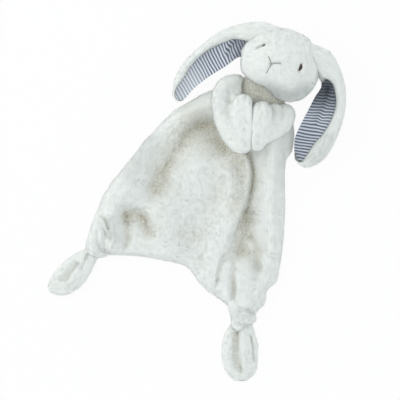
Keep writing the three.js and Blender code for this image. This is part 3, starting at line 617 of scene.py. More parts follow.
NECK_PLACE = (262, 94, 27)
NECK_RINGS = [
    # away from the head, half width, half height, height of the middle
    (-12, 20, 7.5, 26), (-6, 23.8, 9.5, 26), (0, 23.8, 10.8, 26), (5, 23, 11.2, 25.6), (9, 22.5, 11.2, 25.2),
    (14, 22.5, 11, 24), (20, 22, 11, 22), (27, 22, 10, 19.5), (34, 20, 8.5, 17), (40, 16, 5, 14),
]
NECK_RING_COUNT = 60
NECK_SIDES = 150
NECK_PLEATS = 11
PLEAT_DEPTH = 0.5
NECK_SHADE = 0.48
UP_THE_SPINE = np.array([0.491, 0.871, 0])
ACROSS_THE_NECK = np.array([0.871, -0.491, 0])


def outward(points, faces):
    a, b, c = (points[faces[:, k]] for k in range(3))
    return faces if (a * np.cross(b, c)).sum() > 0 else faces[:, ::-1]


def loft(rings):
    """A closed skin of triangles over rings of equal count."""
    rings = np.asarray(rings, float)
    rows, around = rings.shape[:2]
    i, j = np.meshgrid(np.arange(rows - 1), np.arange(around), indexing="ij")
    here, beside = (i * around + j).ravel(), (i * around + (j + 1) % around).ravel()
    points = np.vstack([rings.reshape(-1, 3), rings[0].mean(0), rings[-1].mean(0)])
    ring = np.arange(around)
    after, last = (ring + 1) % around, (rows - 1) * around
    faces = np.vstack([
        np.stack([here, beside, beside + around], 1),
        np.stack([here, beside + around, here + around], 1),
        np.stack([after, ring, np.full(around, rows * around)], 1),
        np.stack([ring + last, after + last, np.full(around, rows * around + 1)], 1),
    ])
    return points, outward(points, faces)


def once_round(count):
    return np.linspace(0, 2 * np.pi, count, endpoint=False)


def ring_about(centre, way, half_width, half_height, sides):
    """An ellipse of places round a route that runs the way given, with its height upright."""
    side = unit(np.cross(way, [0, 0, 1.0]))
    up = np.cross(side, way)
    turn = once_round(sides)[:, None]
    return centre + side * half_width * np.cos(turn) + up * half_height * np.sin(turn)


def press_folds(obj, folds, lumps, seed):
    """Moves a skin along its own normals: folds where they are seen from above, and small lumps all over."""
    points, normals = read_mesh(obj)
    shift = strokes(points, folds) * soft_share(normals[:, 2], -0.1, 0.45)
    shift = shift + sum(high * MM * wobble(points, size, seed + k) for k, (size, high) in enumerate(lumps))
    move_mesh(obj, points + normals * shift[:, None])


DOME_ANGLES = np.radians([78, 58, 36, 14])


def tube(route, radii, sides=12):
    """A round tube along a route, with domed ends."""
    radii = np.broadcast_to(radii, len(route)).astype(float)
    ways = unit(np.gradient(route, axis=0))
    rings = list(zip(route, ways, radii))
    domes = [[(route[end] + sign * ways[end] * radii[end] * np.sin(a), ways[end], radii[end] * np.cos(a))
              for a in DOME_ANGLES] for end, sign in ((0, -1), (-1, 1))]
    rings = [*domes[0], *rings, *domes[1][::-1]]
    return loft([ring_about(place, way, r, r, sides) for place, way, r in rings])


def tube_through(rows, count, sides, inset=0):
    """A tube through rows of across and down in the photograph, height and radius."""
    drawn = curve([[*(spot(*place) / MM), r - inset] for *place, r in rows], count) * MM
    return tube(drawn[:, :3], drawn[:, 3], sides)


neck_centre = spot(*NECK_PLACE)
neck_rings = []
turn = once_round(NECK_SIDES)[:, None]
depth = PLEAT_DEPTH * MM * soft_share(-np.sin(turn), -0.2, 0.5)
for away, wide, high, height in curve(NECK_RINGS, NECK_RING_COUNT):
    middle = neck_centre - UP_THE_SPINE * away * MM
    middle[2] = height * MM
    ring = ring_about(middle, -UP_THE_SPINE, wide * MM, high * MM, NECK_SIDES)
    neck_rings.append(ring + unit(ring - middle) * depth * np.cos(NECK_PLEATS * turn))
points, faces = loft(neck_rings)
neck = solid_from("neck_plush", points, faces, plush)
press_folds(neck, [], [(9, 0.6), (4, 0.2)], 22)
# Painted shade over the whole chest patch, which lies in shadow under the chin
paint_shade_in_hollows(neck, 6, extra_painted_shade=NECK_SHADE)
stands_for(neck, "root", "plush", "neck_gather")
neck_pile = add_pile(neck, 21)
stands_for(neck_pile, "root", "plush")


def grained_material(name, grain, tones, relief, finish, kind="TexNoise", **settings):
    """A material whose colour and relief follow one fine grain, such as a twist, clumps or flow lines."""
    material, tree = new_material(name)
    place = add_node(tree, "TexCoord").outputs["Object"]
    fine = add_node(tree, kind, {"Vector": place, **grain}, **settings).outputs["Fac"]
    colour = add_node(tree, "ValToRGB", {"Fac": fine}, stops=[(0.0, tones[0]), (1.0, tones[1])])
    bump = add_node(tree, "Bump", {"Height": fine, "Strength": relief[0], "Distance": relief[1]})
    skin = add_node(tree, "BsdfPrincipled", {
        "Base Color": colour.outputs["Color"], "Normal": bump.outputs["Normal"], **finish})
    add_node(tree, "OutputMaterial", {"Surface": skin.outputs[0]})
    return material


# Bonded polyester thread: white, smooth, with a slight shine along its twist
sewing_thread = grained_material(
    "bonded_polyester_thread", {"Scale": 500.0, "Distortion": 1.0}, ("#dcdcd4", "#f4f4ef"), (0.5, 0.0003),
    {"Roughness": 0.45}, "TexWave", bands_direction="DIAGONAL")

# The ring's middle, in mm from the CAD's origin, and its half width and half height
THREAD_RING = np.array([61, 100.85, 26])
THREAD_RING_HALF = (22, 9.4)
NECK_THREAD_RADIUS = 0.8
RING_STEPS = 120
RING_SIDES = 10

turn = once_round(RING_STEPS)[:, None]
loop = (THREAD_RING + ACROSS_THE_NECK * THREAD_RING_HALF[0] * np.cos(turn)
        + [0, 0, THREAD_RING_HALF[1]] * np.sin(turn))
outside = unit(loop - THREAD_RING)
thread_rings = [loop + (outside * math.cos(g) + UP_THE_SPINE * math.sin(g)) * NECK_THREAD_RADIUS
                for g in once_round(RING_SIDES)]
around = np.stack(thread_rings, 1).reshape(-1, 3) * MM
i, j = (n.ravel() for n in np.meshgrid(np.arange(RING_STEPS), np.arange(RING_SIDES), indexing="ij"))
here, after, beside = i * RING_SIDES, (i + 1) % RING_STEPS * RING_SIDES, (j + 1) % RING_SIDES
faces = np.stack([here + j, here + beside, after + beside, after + j], 1)
neck_thread = solid_from("neck_thread_ring", around, faces, sewing_thread)
stands_for(neck_thread, "root", "sewing_thread", "neck_thread")
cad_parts["paw_tack_stitch"].data.materials[0] = sewing_thread

# Head
# An egg of plush, stuffed full and pressed flat behind by its own weight. A seam runs down the brow,
# the muzzle is raised, and the eyes and the mouth's threads are pulled in so that the plush dimples.

HEAD_PLACE = (279, 64, 36)
HEAD_OUTLINE = [(240, 50), (238.8, 62.4), (239.7, 69.7), (242.1, 74.5), (248.2, 80.6), (255.5, 85),
                (263.9, 88.5), (270, 94), (276, 99.6), (284.5, 103), (293, 103.8), (303.8, 100.6),
                (312.6, 92.6), (318.8, 82), (320.4, 70), (318.5, 60), (316, 49), (312.2, 40.6), (305.4, 34.8),
                (295.5, 30.3), (288.2, 28.2), (276, 26.4), (264, 28), (254, 33), (246, 40.5)]
HEAD_PILE = 1.7
HEAD_FRONT = 36.5
HEAD_BACK = 34.5
HEAD_STUFFING_INSET = 7.5
HEAD_RESTS_AT = 1.2
HEAD_SEED = 41
NOSE = (270, 64, 60)
RIGHT_EYE = [(302, 65), (301, 68.8), (299.6, 72.6)]
LEFT_EYE = [(258.6, 47.4), (261.5, 46), (264.4, 44.4)]
# The crease that hides most of the left eye, and the underside of the chin: grey shade is painted on both
EYE_CREASE = [(256.4, 48.9), (260.6, 46.7), (263.8, 44.8)]
CHIN = [(271, 91), (281, 94.5), (293, 96), (304, 91)]
MOUTH = [
    [(270.6, 65.2), (269.6, 61.8), (268, 57.8)],
    [(270.6, 65.2), (275.2, 64.4), (280.2, 64.6)],
    [(270.6, 65.2), (269.6, 67.6), (268, 70), (266, 74.2)],
]
FACE_FOLDS = [
    ([(259, 64), (268, 66)], 19, 3.6),
    ([(270.5, 27), (270, 38), (270, 47)], 1.8, -0.45),
    ([(253, 50), (258, 47.6), (263, 45.2), (269, 42.8)], 4.2, -1.7),
    (EYE_CREASE, 1.3, -2.5),
    ([(258, 50.5), (263, 48.6), (268, 46.4)], 2.2, 0.7),
    (RIGHT_EYE, 1.9, -3.2),
    ([(305.8, 63.5), (305.4, 69.5), (304.4, 74.5)], 3.6, 0.8),
    ([(280.2, 64.6), (285.5, 66.6), (290.5, 69.8)], 1.8, -0.6),
    *[(thread, 1.8, -0.8) for thread in MOUTH],
    ([(257, 90), (268, 86), (280, 88), (292, 92)], 8, -1.0),
    ([(276, 97), (285, 99.5), (295, 99), (305, 94)], 7, -2.2),
]
# No pile grows within this many mm of the beads and the threads: line, steps along it, and distance
BARE_LINES = [(RIGHT_EYE, 12, 1.4), (LEFT_EYE, 12, 0.5), *[(thread, 16, 0.7) for thread in MOUTH]]


def egg(outline, place, front, back, inset, rounds=7):
    """Even directions over a sphere, stretched to an outline seen from above and to two depths."""
    centre = spot(*place)
    bpy.ops.mesh.primitive_ico_sphere_add(subdivisions=rounds, radius=1)
    ball = bpy.context.object
    ways, _ = read_mesh(ball)
    corners = read_all(ball.data.polygons, "vertices", 3)
    bpy.data.objects.remove(ball)
    edge = curve(line_of(outline, closed=True), 240)[:, :2] - centre[:2]
    angle, reach = np.arctan2(edge[:, 1], edge[:, 0]), np.linalg.norm(edge, axis=1) - inset * MM
    order = np.argsort(angle)
    out = np.interp(np.arctan2(ways[:, 1], ways[:, 0]), angle[order], reach[order], period=2 * np.pi)
    points = centre + np.column_stack([ways[:, :2] * out[:, None], np.zeros(len(ways))])
    points[:, 2] += ways[:, 2] * (np.where(ways[:, 2] > 0, front, back) - inset) * MM
    return points, ways, corners


head_points, head_ways, head_faces = egg(HEAD_OUTLINE, HEAD_PLACE, HEAD_FRONT, HEAD_BACK, HEAD_PILE)
facing = soft_share(head_ways[:, 2], 0.05, 0.4)
head_points += head_ways * (strokes(head_points, FACE_FOLDS) * facing)[:, None]
lumps = 0.7 * wobble(head_points, 22, HEAD_SEED) + 0.3 * wobble(head_points, 9, HEAD_SEED + 1)
head_points += head_ways * lumps[:, None] * MM
sole = (HEAD_RESTS_AT + 0.4 * wobble(head_points, 12, HEAD_SEED + 2)) * MM
head_points[:, 2] = np.maximum(head_points[:, 2], sole)
head = solid_from("head_plush", head_points, head_faces, plush)
# Painted shade in the dimples and seams, and painted grey shade under the chin and in the eye's crease
paint_shade_in_hollows(head, 3.5)
painted_grey_shade = stroke(head_points, CHIN, 8.5, 0.66) + stroke(head_points, EYE_CREASE, 1.0, 0.8)
mark(head, "painted_grey_shade", painted_grey_shade / MM * soft_share(head_ways[:, 2], -0.35, 0.05))
bare = np.zeros(len(head_points), bool)
for line, steps, clear in BARE_LINES:
    bare |= near_line(head_points, curve(line_of(line), steps))[0] < clear * MM
mark(head, "bare", bare & (head_ways[:, 2] > 0))
stands_for(head, "head", "plush", "head_cover")


def out_from_the_nose(roots):
    return turned(unit(roots - spot(*NOSE)), 0.5 * wobble(roots, 16, HEAD_SEED + 3))


# Carded polyester fibre: matt white, in loose clumps
fibre = grained_material("polyester_fibre_filling", {"Scale": 260.0, "Detail": 4.0}, ("#e9e8e2", "#fbfbf8"),
                         (0.6, 0.001), {"Roughness": 0.95, "Sheen Weight": 0.3})

points, ways, faces = egg(HEAD_OUTLINE, HEAD_PLACE, HEAD_FRONT, HEAD_BACK, HEAD_STUFFING_INSET, 5)
points += ways * 1.1 * MM * wobble(points, 8, HEAD_SEED + 5)[:, None]
stuffing = solid_from("head_stuffing", points, faces, fibre)
stands_for(stuffing, "head", "fibre_filling", "head_filling")

head_pile = add_pile(head, HEAD_SEED + 4, comb=out_from_the_nose, length=1.5, lift_deg=28)
stands_for(head_pile, "head", "plush")

# Eyes
# Domed beads of polished dark brown acrylic on a shank through the cover. They sit deep in the plush.

# Where each bead sits, and how far it stands out of the dimpled skin
EYE_RISE = {"left_eye": ((262.1, 45.3), -0.85), "right_eye": (RIGHT_EYE[1], 0.75)}
# Radius and height down the bead and its shank
EYE_PROFILE = [(0.0, 0.0), (1.2, -0.14), (2.3, -0.55), (3.2, -1.2), (3.9, -2.1), (4.2, -3.1), (4.0, -4.0),
               (2.9, -4.8), (1.4, -5.0), (1.2, -6.2), (1.2, -9.5), (0.0, -9.8)]


def lathe(profile, sides=40):
    """A turned solid."""
    turn = once_round(sides)
    return loft([np.column_stack([np.cos(turn) * max(r, 0.02), np.sin(turn) * max(r, 0.02),
                                  np.full(sides, z)]) * MM for r, z in curve(profile, 60)])


def height_over(obj, across, down):
    """Height in metres of the top of an object at a pixel of the photograph."""
    _, where, _, _ = obj.ray_cast(Vector(spot(across, down, 200)), Vector((0, 0, -1)))
    return where.z


# Polished acrylic: clear brown over black, so that it is redder where it is seen edge on
bead, tree = new_material("polished_acrylic")
edge_on = add_node(tree, "LayerWeight", {"Blend": 0.35})
tones = add_node(tree, "ValToRGB", {"Fac": edge_on.outputs["Facing"]},
                 stops=[(0.0, "#170907"), (1.0, "#7a3420")])
glass = add_node(tree, "BsdfPrincipled", {
    "Base Color": tones.outputs["Color"], "Roughness": 0.12, "IOR": 1.49, "Coat Weight": 0.3})
add_node(tree, "OutputMaterial", {"Surface": glass.outputs[0]})

bpy.context.view_layer.update()
head_middle = Vector(spot(*HEAD_PLACE))
for name, ((across, down), rise) in EYE_RISE.items():
    points, faces = lathe(EYE_PROFILE)
    eye = solid_from(name + "_bead", points, faces, bead)
    seat = Vector((*spot(across, down)[:2], height_over(head, across, down) + rise * MM))
    eye.location = seat
    eye.rotation_euler = (seat - head_middle).to_track_quat("Z", "Y").to_euler()
    stands_for(eye, "head", "eye_bead", name)

# Moulded nylon washers lock the shanks inside the head: natural white, waxy, with a faint flow grain
nylon = grained_material("moulded_nylon", {"Scale": 700.0, "Detail": 2.0}, ("#e4e2d8", "#f3f2ea"),
                         (0.2, 0.0002), {"Roughness": 0.42, "IOR": 1.53})
for node in ("left_eye_washer", "right_eye_washer"):
    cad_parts[node].data.materials[0] = nylon

# Mouth
# Three stitches of twisted grey cotton thread that meet under the nose.

THREAD_RADIUS = 0.38
THREAD_LIFT = 0.55
thread_grey = grained_material(
    "twisted_cotton", {"Scale": 420.0, "Distortion": 1.5}, ("#7f8583", "#aeb3b1"), (0.5, 0.0003),
    {"Roughness": 0.8}, "TexWave", bands_direction="DIAGONAL")


def joined(bodies):
    """Several bodies as one list of places and one of faces."""
    starts = np.cumsum([0] + [len(points) for points, _ in bodies[:-1]])
    return np.vstack([b[0] for b in bodies]), np.vstack([b[1] + s for b, s in zip(bodies, starts)])


threads = []
for stitch in MOUTH:
    route = curve(line_of(stitch), 14)
    for row in route:
        top = height_over(head, *(row[:2] / MM * (1, -1) + PHOTO_ORIGIN))
        row[2] = top + (THREAD_LIFT + 0.35 * wobble(row, 4, HEAD_SEED + 6)) * MM
    threads.append(tube(route, THREAD_RADIUS * MM))
mouth = solid_from("mouth_stitches", *joined(threads), thread_grey)
stands_for(mouth, "head", "embroidery_thread", "muzzle_stitches")

# Ears
# A long leaf of plush sewn to a leaf of ticking, turned out and folded to a trough at the root. The plush
# edge rolls over the ticking on the outer side, and on the right ear over the tip too.

EAR_STATIONS = 110
TICKING_PITCH = 3.1
BELLY_STEPS = 22
ROLL_STEPS = 26
TROUGH_STEPS = 20
TICKING_STEPS = 44
ROLL_ARC_DEG = (-35, 205)
# The ticking's two faces over the floor of the trough, and how far the plush lies under it
TICKING_FACES = (0.5, -0.15)
UNDER_TICKING = 0.9
# Lines are pixel points from root to tip, and heights and roll radii go by the share of the way down the ear
LEFT_EAR = {
    "outer": [(282, 29), (265, 23.2), (250, 22.9), (235.8, 26), (222.4, 30.8), (210.4, 38.8), (196.8, 49.8),
              (185.4, 60.6), (177, 73.6), (173.4, 86), (172.6, 94), (175.4, 100), (180, 101)],
    "lip": [(270, 42), (258, 42), (247.7, 41), (232.2, 38.9), (222.4, 42.1), (205.2, 51), (191.6, 64.2),
            (181.8, 79.8), (175.8, 89.1), (174.8, 95), (177, 99), (181, 100.4)],
    "inner": [(256, 52), (247, 55), (239.6, 57.3), (236.2, 58.5), (225.3, 66.5), (213.8, 73.4), (205.2, 79.1),
              (193.7, 88.3), (185.5, 97.5), (182.5, 100)],
    "heights": [(0, 43), (0.15, 42), (0.35, 33), (0.6, 22), (0.85, 13), (1, 9.5)],
    "rolls": [(0, 7.5), (0.12, 7.5), (0.3, 8), (0.6, 7), (0.85, 5), (1, 2)],
    "lining": (0.1, 0.985),
    "lining_flat": (0.034, 0.106),
    "lining_area": 0.0021,
    "root_shade": (0.62, 26),
    "painted_grey": [],
    "tip_paler": 0.36,
    "bunch": [([(236, 41), (231, 47), (228, 55)], 2.4, -1.6), ([(229, 41), (225, 50)], 2.4, 0.9)],
    "across_stripes": (0.88, 0.47),
    "hinge": ((47.6, 161.6, 42), (-0.957, 0.29, 0)),
}
RIGHT_EAR = {
    "outer": [(300, 44.6), (310, 44), (319.4, 47.2), (328.6, 51.4), (335, 59.7), (340.7, 72.4), (344.7, 86.8),
              (345.6, 103.7), (343.2, 118.7), (338.8, 132.4), (332, 147.6), (323.8, 159.2), (312.4, 166),
              (304.4, 166.8), (298.4, 162.6), (295.4, 158.5)],
    "lip": [(306, 62), (313, 66), (320, 74), (324, 80), (331, 85), (335.2, 93), (336.2, 105.5), (334.8, 114),
            (330.8, 122.7), (323.1, 133.9), (316.2, 140.8), (310.1, 151.1), (305.5, 158.5), (300, 160.5),
            (296.2, 158.8)],
    "inner": [(306, 66), (313, 72), (319.6, 80), (321.3, 86), (318.8, 91.2), (314.8, 97.2), (308.8, 109),
              (300.4, 125.5), (295.4, 137.3), (294.6, 147), (295, 156)],
    "heights": [(0, 43), (0.15, 42), (0.35, 36), (0.6, 25), (0.85, 16), (1, 13)],
    "rolls": [(0, 8), (0.15, 8.5), (0.3, 9), (0.6, 8), (0.85, 7.5), (0.95, 6), (1, 3)],
    "lining": (0.24, 0.955),
    "lining_flat": (0.032, 0.1),
    "lining_area": 0.0021,
    "root_shade": (0.85, 33),
    "painted_grey": [([(331, 138), (325, 150), (316, 160)], 7, 0.3)],
    "tip_paler": 0.0,
    "bunch": [([(328, 88), (325, 102), (316, 122)], 3, -1.2), ([(330, 100), (322, 118)], 4, 0.8)],
    "across_stripes": (0.14, 0.99),
    "hinge": ((121.8, 138.7, 42), (0.19, -0.98, 0)),
}

# Woven cotton ticking: matt grey and white stripes with the slubs of the yarn, with painted shade darker at
# the root and down in the fold, and paler towards the tip
ticking, tree = new_material("woven_ticking")
cloth = add_node(tree, "UVMap", uv_map="cloth").outputs["UV"]
split = add_node(tree, "SeparateXYZ", {"Vector": cloth})
beat = add_node(tree, "Math", {0: split.outputs["X"], 1: 2 * math.pi / TICKING_PITCH}, operation="MULTIPLY")
wave = add_node(tree, "Math", {0: beat.outputs[0]}, operation="SINE")
slub = add_node(tree, "TexNoise", {"Vector": cloth, "Scale": 1.6, "Detail": 3.0})
edge = add_node(tree, "Math", {0: slub.outputs["Fac"], 1: 0.5, 2: wave.outputs[0]}, operation="MULTIPLY_ADD")
tones = add_node(tree, "ValToRGB", {"Fac": edge.outputs[0]}, stops=[(0.0, "#737783"), (0.55, "#e0e4ee")])
deep, paler_to_tip = (add_node(tree, "Attribute", attribute_name=name).outputs["Fac"]
               for name in ("painted_shade", "paler_to_tip"))
# Painted shade: the shade mark darkens the stripes towards a dark grey
inside = add_node(tree, "Mix", {0: deep, 6: tones.outputs["Color"], 7: linear("#3c3f47")}, data_type="RGBA")
colour = add_node(tree, "Mix", {0: paler_to_tip, 6: inside.outputs[2], 7: linear("#f4f6fa")}, data_type="RGBA")
yarn = add_node(tree, "TexNoise", {"Vector": cloth, "Scale": 5.0, "Detail": 2.0})
bump = add_node(tree, "Bump", {"Height": yarn.outputs["Fac"], "Strength": 0.3, "Distance": 0.0003})
cotton = add_node(tree, "BsdfPrincipled", {
    "Base Color": colour.outputs[2], "Roughness": 0.85, "Specular IOR Level": 0.2,
    "Normal": bump.outputs["Normal"]})
add_node(tree, "OutputMaterial", {"Surface": cotton.outputs[0]})


def setting(table, share):
    shares, values = zip(*table)
    return np.interp(share, shares, values)


def flat_ring(inner, outer, outline):
    """Places across the ear from share and height pairs."""
    outline = np.asarray(outline)
    ring = inner + (outer - inner) * outline[:, :1]
    ring[:, 2] += outline[:, 1] * MM
    return ring


def ear_floor(lip, roll, shares):
    """Height of the trough between the inner edge and the lip of the roll."""
    return -0.42 * roll * np.sin(np.pi * np.clip(shares / max(lip, 0.05), 0, 1) ** 0.8) - 0.25 * roll * shares


def build_ear(side, ear, seed):
    """The plush trough with its roll, as closed rings round the leaf, and the ticking that lies in it."""
    shares = np.linspace(0, 1, EAR_STATIONS)
    lines = {key: curve(line_of(ear[key]), EAR_STATIONS) for key in ("outer", "lip", "inner")}
    along = lengths_along(lines["lip"]) / MM
    back_rings, lining_rings, lining_along = [], [], []
    for k, share in enumerate(shares):
        inner, outer = lines["inner"][k].copy(), lines["outer"][k].copy()
        inner[2] = outer[2] = setting(ear["heights"], share) * MM
        width = np.linalg.norm(outer - inner)
        lip = np.clip(np.linalg.norm(lines["lip"][k][:2] - inner[:2]) / max(width, 1e-6), 0.06, 0.94)
        roll = setting(ear["rolls"], share)
        middle, half = (1 + lip) / 2, (1 - lip) / 2
        under = np.linspace(0.0, 1.0, BELLY_STEPS)[1:-1]
        belly = np.column_stack([under, -(0.2 + 0.95 * np.sin(np.pi * under**0.9) ** 0.6) * roll * 0.85])
        turn = np.radians(np.linspace(*ROLL_ARC_DEG, ROLL_STEPS))
        over = np.column_stack([middle + half * np.cos(turn), roll * np.sin(turn)])
        back = np.linspace(lip * 0.97, 0.0, TROUGH_STEPS)
        floor = np.column_stack([back, ear_floor(lip, roll, back) - 0.5])
        back_rings.append(flat_ring(inner, outer, np.vstack([belly, over, floor])))
        if ear["lining"][0] <= share <= ear["lining"][1]:
            cloth = np.linspace(0.0, lip * 0.99, TICKING_STEPS)
            face = ear_floor(lip, roll, cloth)
            upper, lower = (np.column_stack([cloth, face + lift]) for lift in TICKING_FACES)
            lining_rings.append(flat_ring(inner, outer, np.vstack([upper, lower[::-1]])))
            lining_along.append(along[k])
    points, faces = loft(back_rings)
    ring_size = len(back_rings[0])
    under_cloth = np.arange(len(points)) % ring_size >= ring_size - TROUGH_STEPS
    lumps = (0.5 * wobble(points, 13, seed) + 0.3 * wobble(points, 6, seed + 1)) * MM
    dents = np.minimum(strokes(points, ear["bunch"]), 0) - UNDER_TICKING * MM
    points[:, 2] += lumps + np.where(under_cloth, dents, 0)
    back = solid_from(f"{side}_ear_plush", points, faces, plush)
    mark(back, "bare", under_cloth)
    # Painted grey shade low on the right ear's back
    mark(back, "painted_grey_shade", strokes(points, ear["painted_grey"]) / MM)
    points, faces = loft(lining_rings)
    dents = strokes(points, ear["bunch"])
    points[:, 2] += dents + 0.35 * MM * wobble(points, 8, seed + 2)
    lining = solid_from(f"{side}_ear_ticking", points, faces, ticking)
    # The last two points of a loft are the middles of its ends
    reached = np.repeat(lining_along, len(lining_rings[0]))
    reached = np.concatenate([reached, lining_along[:1], lining_along[-1:]])
    toward = np.array(ear["across_stripes"])
    wavy = 0.9 * wobble(points, 16, seed + 3) + 0.35 * wobble(points, 6, seed + 4)
    squeezed = 4.5 * np.exp(-reached / 14)
    along_cloth = points[:, :2] @ toward / MM + dents / MM * 0.8 + wavy + squeezed
    lay_cloth(lining, np.column_stack([along_cloth, points[:, :2] @ [-toward[1], toward[0]] / MM]))
    from_root = reached - lining_along[0]
    dark, reach = ear["root_shade"]
    # Painted shade on the ticking, dark at the root and in the dents of its folds
    mark(lining, "painted_shade", dark * np.exp(-((from_root / reach) ** 4)) + 0.12 * np.maximum(-dents / MM, 0))
    # The ticking is paler towards the tip of the ear
    mark(lining, "paler_to_tip", ear["tip_paler"] * soft_share(from_root, 55, 90))
    return back, lining


def lay_cloth(obj, places):
    """Gives each corner the place of its thread in the cloth, in mm along and across."""
    corners = read_all(obj.data.loops, "vertex_index", 1)[:, 0]
    obj.data.uv_layers.new(name="cloth").data.foreach_set("uv", places[corners].astype(np.float32).ravel())


for side, ear, seed in (("left", LEFT_EAR, 51), ("right", RIGHT_EAR, 61)):
    back, lining = build_ear(side, ear, seed)
    hinge, way = (np.array(v, float) for v in ear["hinge"])
    way = way / np.linalg.norm(way)
    tip = line_of(ear["outer"])[-3]

    def to_the_tip(roots, tip=tip):
        return unit((tip - roots) * [1, 1, 0])

    pile = add_pile(back, seed, comb=to_the_tip)
    for piece in (back, pile, lining):
        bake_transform(piece)
    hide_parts(f"{side}_ear_back")
    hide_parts(f"{side}_ear_lining")

# Arms
# Tubes of plush with a little filling, sewn into the neck at the shoulders. Each bends back on itself
# so that the paws lie side by side on the chest, held there by one stitch.

ARMS = {
    # runs of across and down in the photograph, height, and radius
    "left": [
        [(239, 79.5, 27, 5), (234.5, 82.5, 30.5, 8.8), (227.5, 89, 34, 12), (223.6, 100, 37, 12.3),
         (224.5, 112, 39, 12.2), (228.5, 124, 40.5, 12.2), (234, 135, 41, 12.3), (240, 141.5, 41.5, 12.3)],
        [(241.5, 142.3, 42, 12.2), (242, 132, 44, 12.6), (241.5, 120, 46, 12.8), (241.8, 112, 47.5, 12.3),
         (242.8, 105.3, 48.5, 11.1)],
        [(234, 90, 34, 8), (231.5, 101, 39, 9.8), (232.5, 114, 43, 10.8), (235, 126, 43.5, 11),
         (238, 136, 43, 11.5)],
    ],
    "right": [
        [(280, 111, 28, 7.5), (284.5, 113.8, 31.5, 10.2), (283.5, 120.5, 35, 10.6), (277.5, 126.8, 38, 10.8),
         (269.5, 131, 40.5, 10.8), (261.5, 135.4, 41.5, 10)],
        [(256.8, 141.4, 42, 9.6), (260.2, 130, 44, 12.2), (261.6, 121, 46, 12.5), (261.9, 113.4, 47.5, 11.7)],
        [(275, 112, 37, 9), (273.5, 118, 40, 10), (270.5, 126, 42, 10.5)],
    ],
}
ARM_FOLDS = {
    "left": [([(229.5, 101), (228.5, 109), (229.5, 117)], 2.2, -1.6),
             ([(217, 93), (223, 97), (229, 100)], 2.6, -0.9), ([(222, 86), (229, 91), (233, 98)], 3, -0.8),
             ([(221, 139), (229, 138)], 2.6, -0.8), ([(251.5, 98), (251.5, 104)], 2.4, -1.2),
             ([(237, 95), (238, 100)], 1.8, -0.8), ([(246.5, 95), (246, 100)], 1.8, -0.8)],
    "right": [([(274, 106), (274.5, 112), (274, 118)], 2.4, -0.8),
              ([(279, 131), (287, 134)], 2.6, -1.0), ([(259, 103), (259.4, 108)], 1.8, -0.8),
              ([(268, 104), (267.4, 109)], 1.8, -0.8)],
}
# Painted grey shade on each arm: points, width and how grey it looks
ARM_GREY_SHADE = {"left": ([(228, 89), (223, 98), (223, 108)], 6, 0.26),
            "right": ([(276, 110), (279, 114)], 4, 0.05)}
ARM_VOXEL = 0.9
WADDING_VOXEL = 1.4
FILLING_INSET = 3.6
PAWS_MEET = 54.6
PRESSED_TOGETHER = 0.08
# How far in from the meeting face the paws bulge, and how high
SHOULDER = (8, 5)
COMBED_ACROSS = 2.5
BARE_ROOT = 8


def fused(name, bodies, voxel, rounds, material):
    """Bodies that overlap, made one skin and smoothed where they meet."""
    rough = solid_from(name, *joined(bodies), material)
    remesh = rough.modifiers.new("remesh", "REMESH")
    remesh.mode = "VOXEL"
    remesh.voxel_size = voxel * MM
    smooth = rough.modifiers.new("smooth", "SMOOTH")
    smooth.factor, smooth.iterations = 0.5, rounds
    bpy.context.view_layer.update()
    skin = bpy.data.meshes.new_from_object(rough.evaluated_get(bpy.context.evaluated_depsgraph_get()))
    rough.modifiers.clear()
    rough.data = skin
    skin.materials.clear()
    skin.materials.append(material)
    skin.shade_smooth()
    return rough


def meet_at_the_middle(arm, toward):
    """The paws press flat against each other where they meet, which pushes up a shoulder on each."""
    points, normals = read_mesh(arm)
    over = toward * (points[:, 0] - PAWS_MEET * MM) - PRESSED_TOGETHER * MM
    near = np.clip(1 + over / (SHOULDER[0] * MM), 0, 1) ** 2
    points[:, 2] += SHOULDER[1] * MM * near * np.maximum(normals[:, 2], 0)
    points[:, 0] -= toward * np.maximum(over, 0)
    move_mesh(arm, points)


for side, toward, seed in (("left", 1, 71), ("right", -1, 81)):
    segments = [tube_through(rows, 40, 28) for rows in ARMS[side]]
    arm = fused(f"{side}_arm_plush", segments, ARM_VOXEL, 14, plush)
    press_folds(arm, ARM_FOLDS[side], [(15, 0.7), (7, 0.3)], seed)
    meet_at_the_middle(arm, toward)
    # Painted shade in the arm's hollows, and painted grey shade where marked
    paint_shade_in_hollows(arm, 6, wide=0.06, fine=0.02)
    skin = read_mesh(arm)[0]
    mark(arm, "painted_grey_shade", stroke(skin, *ARM_GREY_SHADE[side]) / MM)
    # The thread ends its ring inside the arms' roots, where no pile can stand
    ring_end = (THREAD_RING - toward * ACROSS_THE_NECK * THREAD_RING_HALF[0]) * MM
    mark(arm, "bare", np.linalg.norm(skin - ring_end, axis=1) < BARE_ROOT * MM)
    paw = spot(*ARMS[side][1][-1][:3])

    def to_the_paw(roots, paw=paw, toward=toward):
        beside_the_other = bell(roots[:, 0] - PAWS_MEET * MM, COMBED_ACROSS * MM)
        return unit(paw - roots) + beside_the_other[:, None] * [2.0 * toward, 0, 0]

    packed = [tube_through(rows, 30, 20, FILLING_INSET) for rows in (ARMS[side][0][1:], ARMS[side][1])]
    wadding = fused(f"{side}_arm_stuffing", packed, WADDING_VOXEL, 2, fibre)
    press_folds(wadding, [], [(7, 0.8)], seed + 3)
    meet_at_the_middle(wadding, toward)
    stands_for(wadding, "arms", "fibre_filling", f"{side}_arm_filling")
    arm_pile = add_pile(arm, seed, comb=to_the_paw)
    stands_for(arm, "arms", "plush", f"{side}_arm_cover")
    stands_for(arm_pile, "arms", "plush")

# Knotted corners
# Each corner of the blanket is tied in one overhand knot. The cloth is wrapped once round itself,
# and its free end spreads into a leaf whose rims curl up.

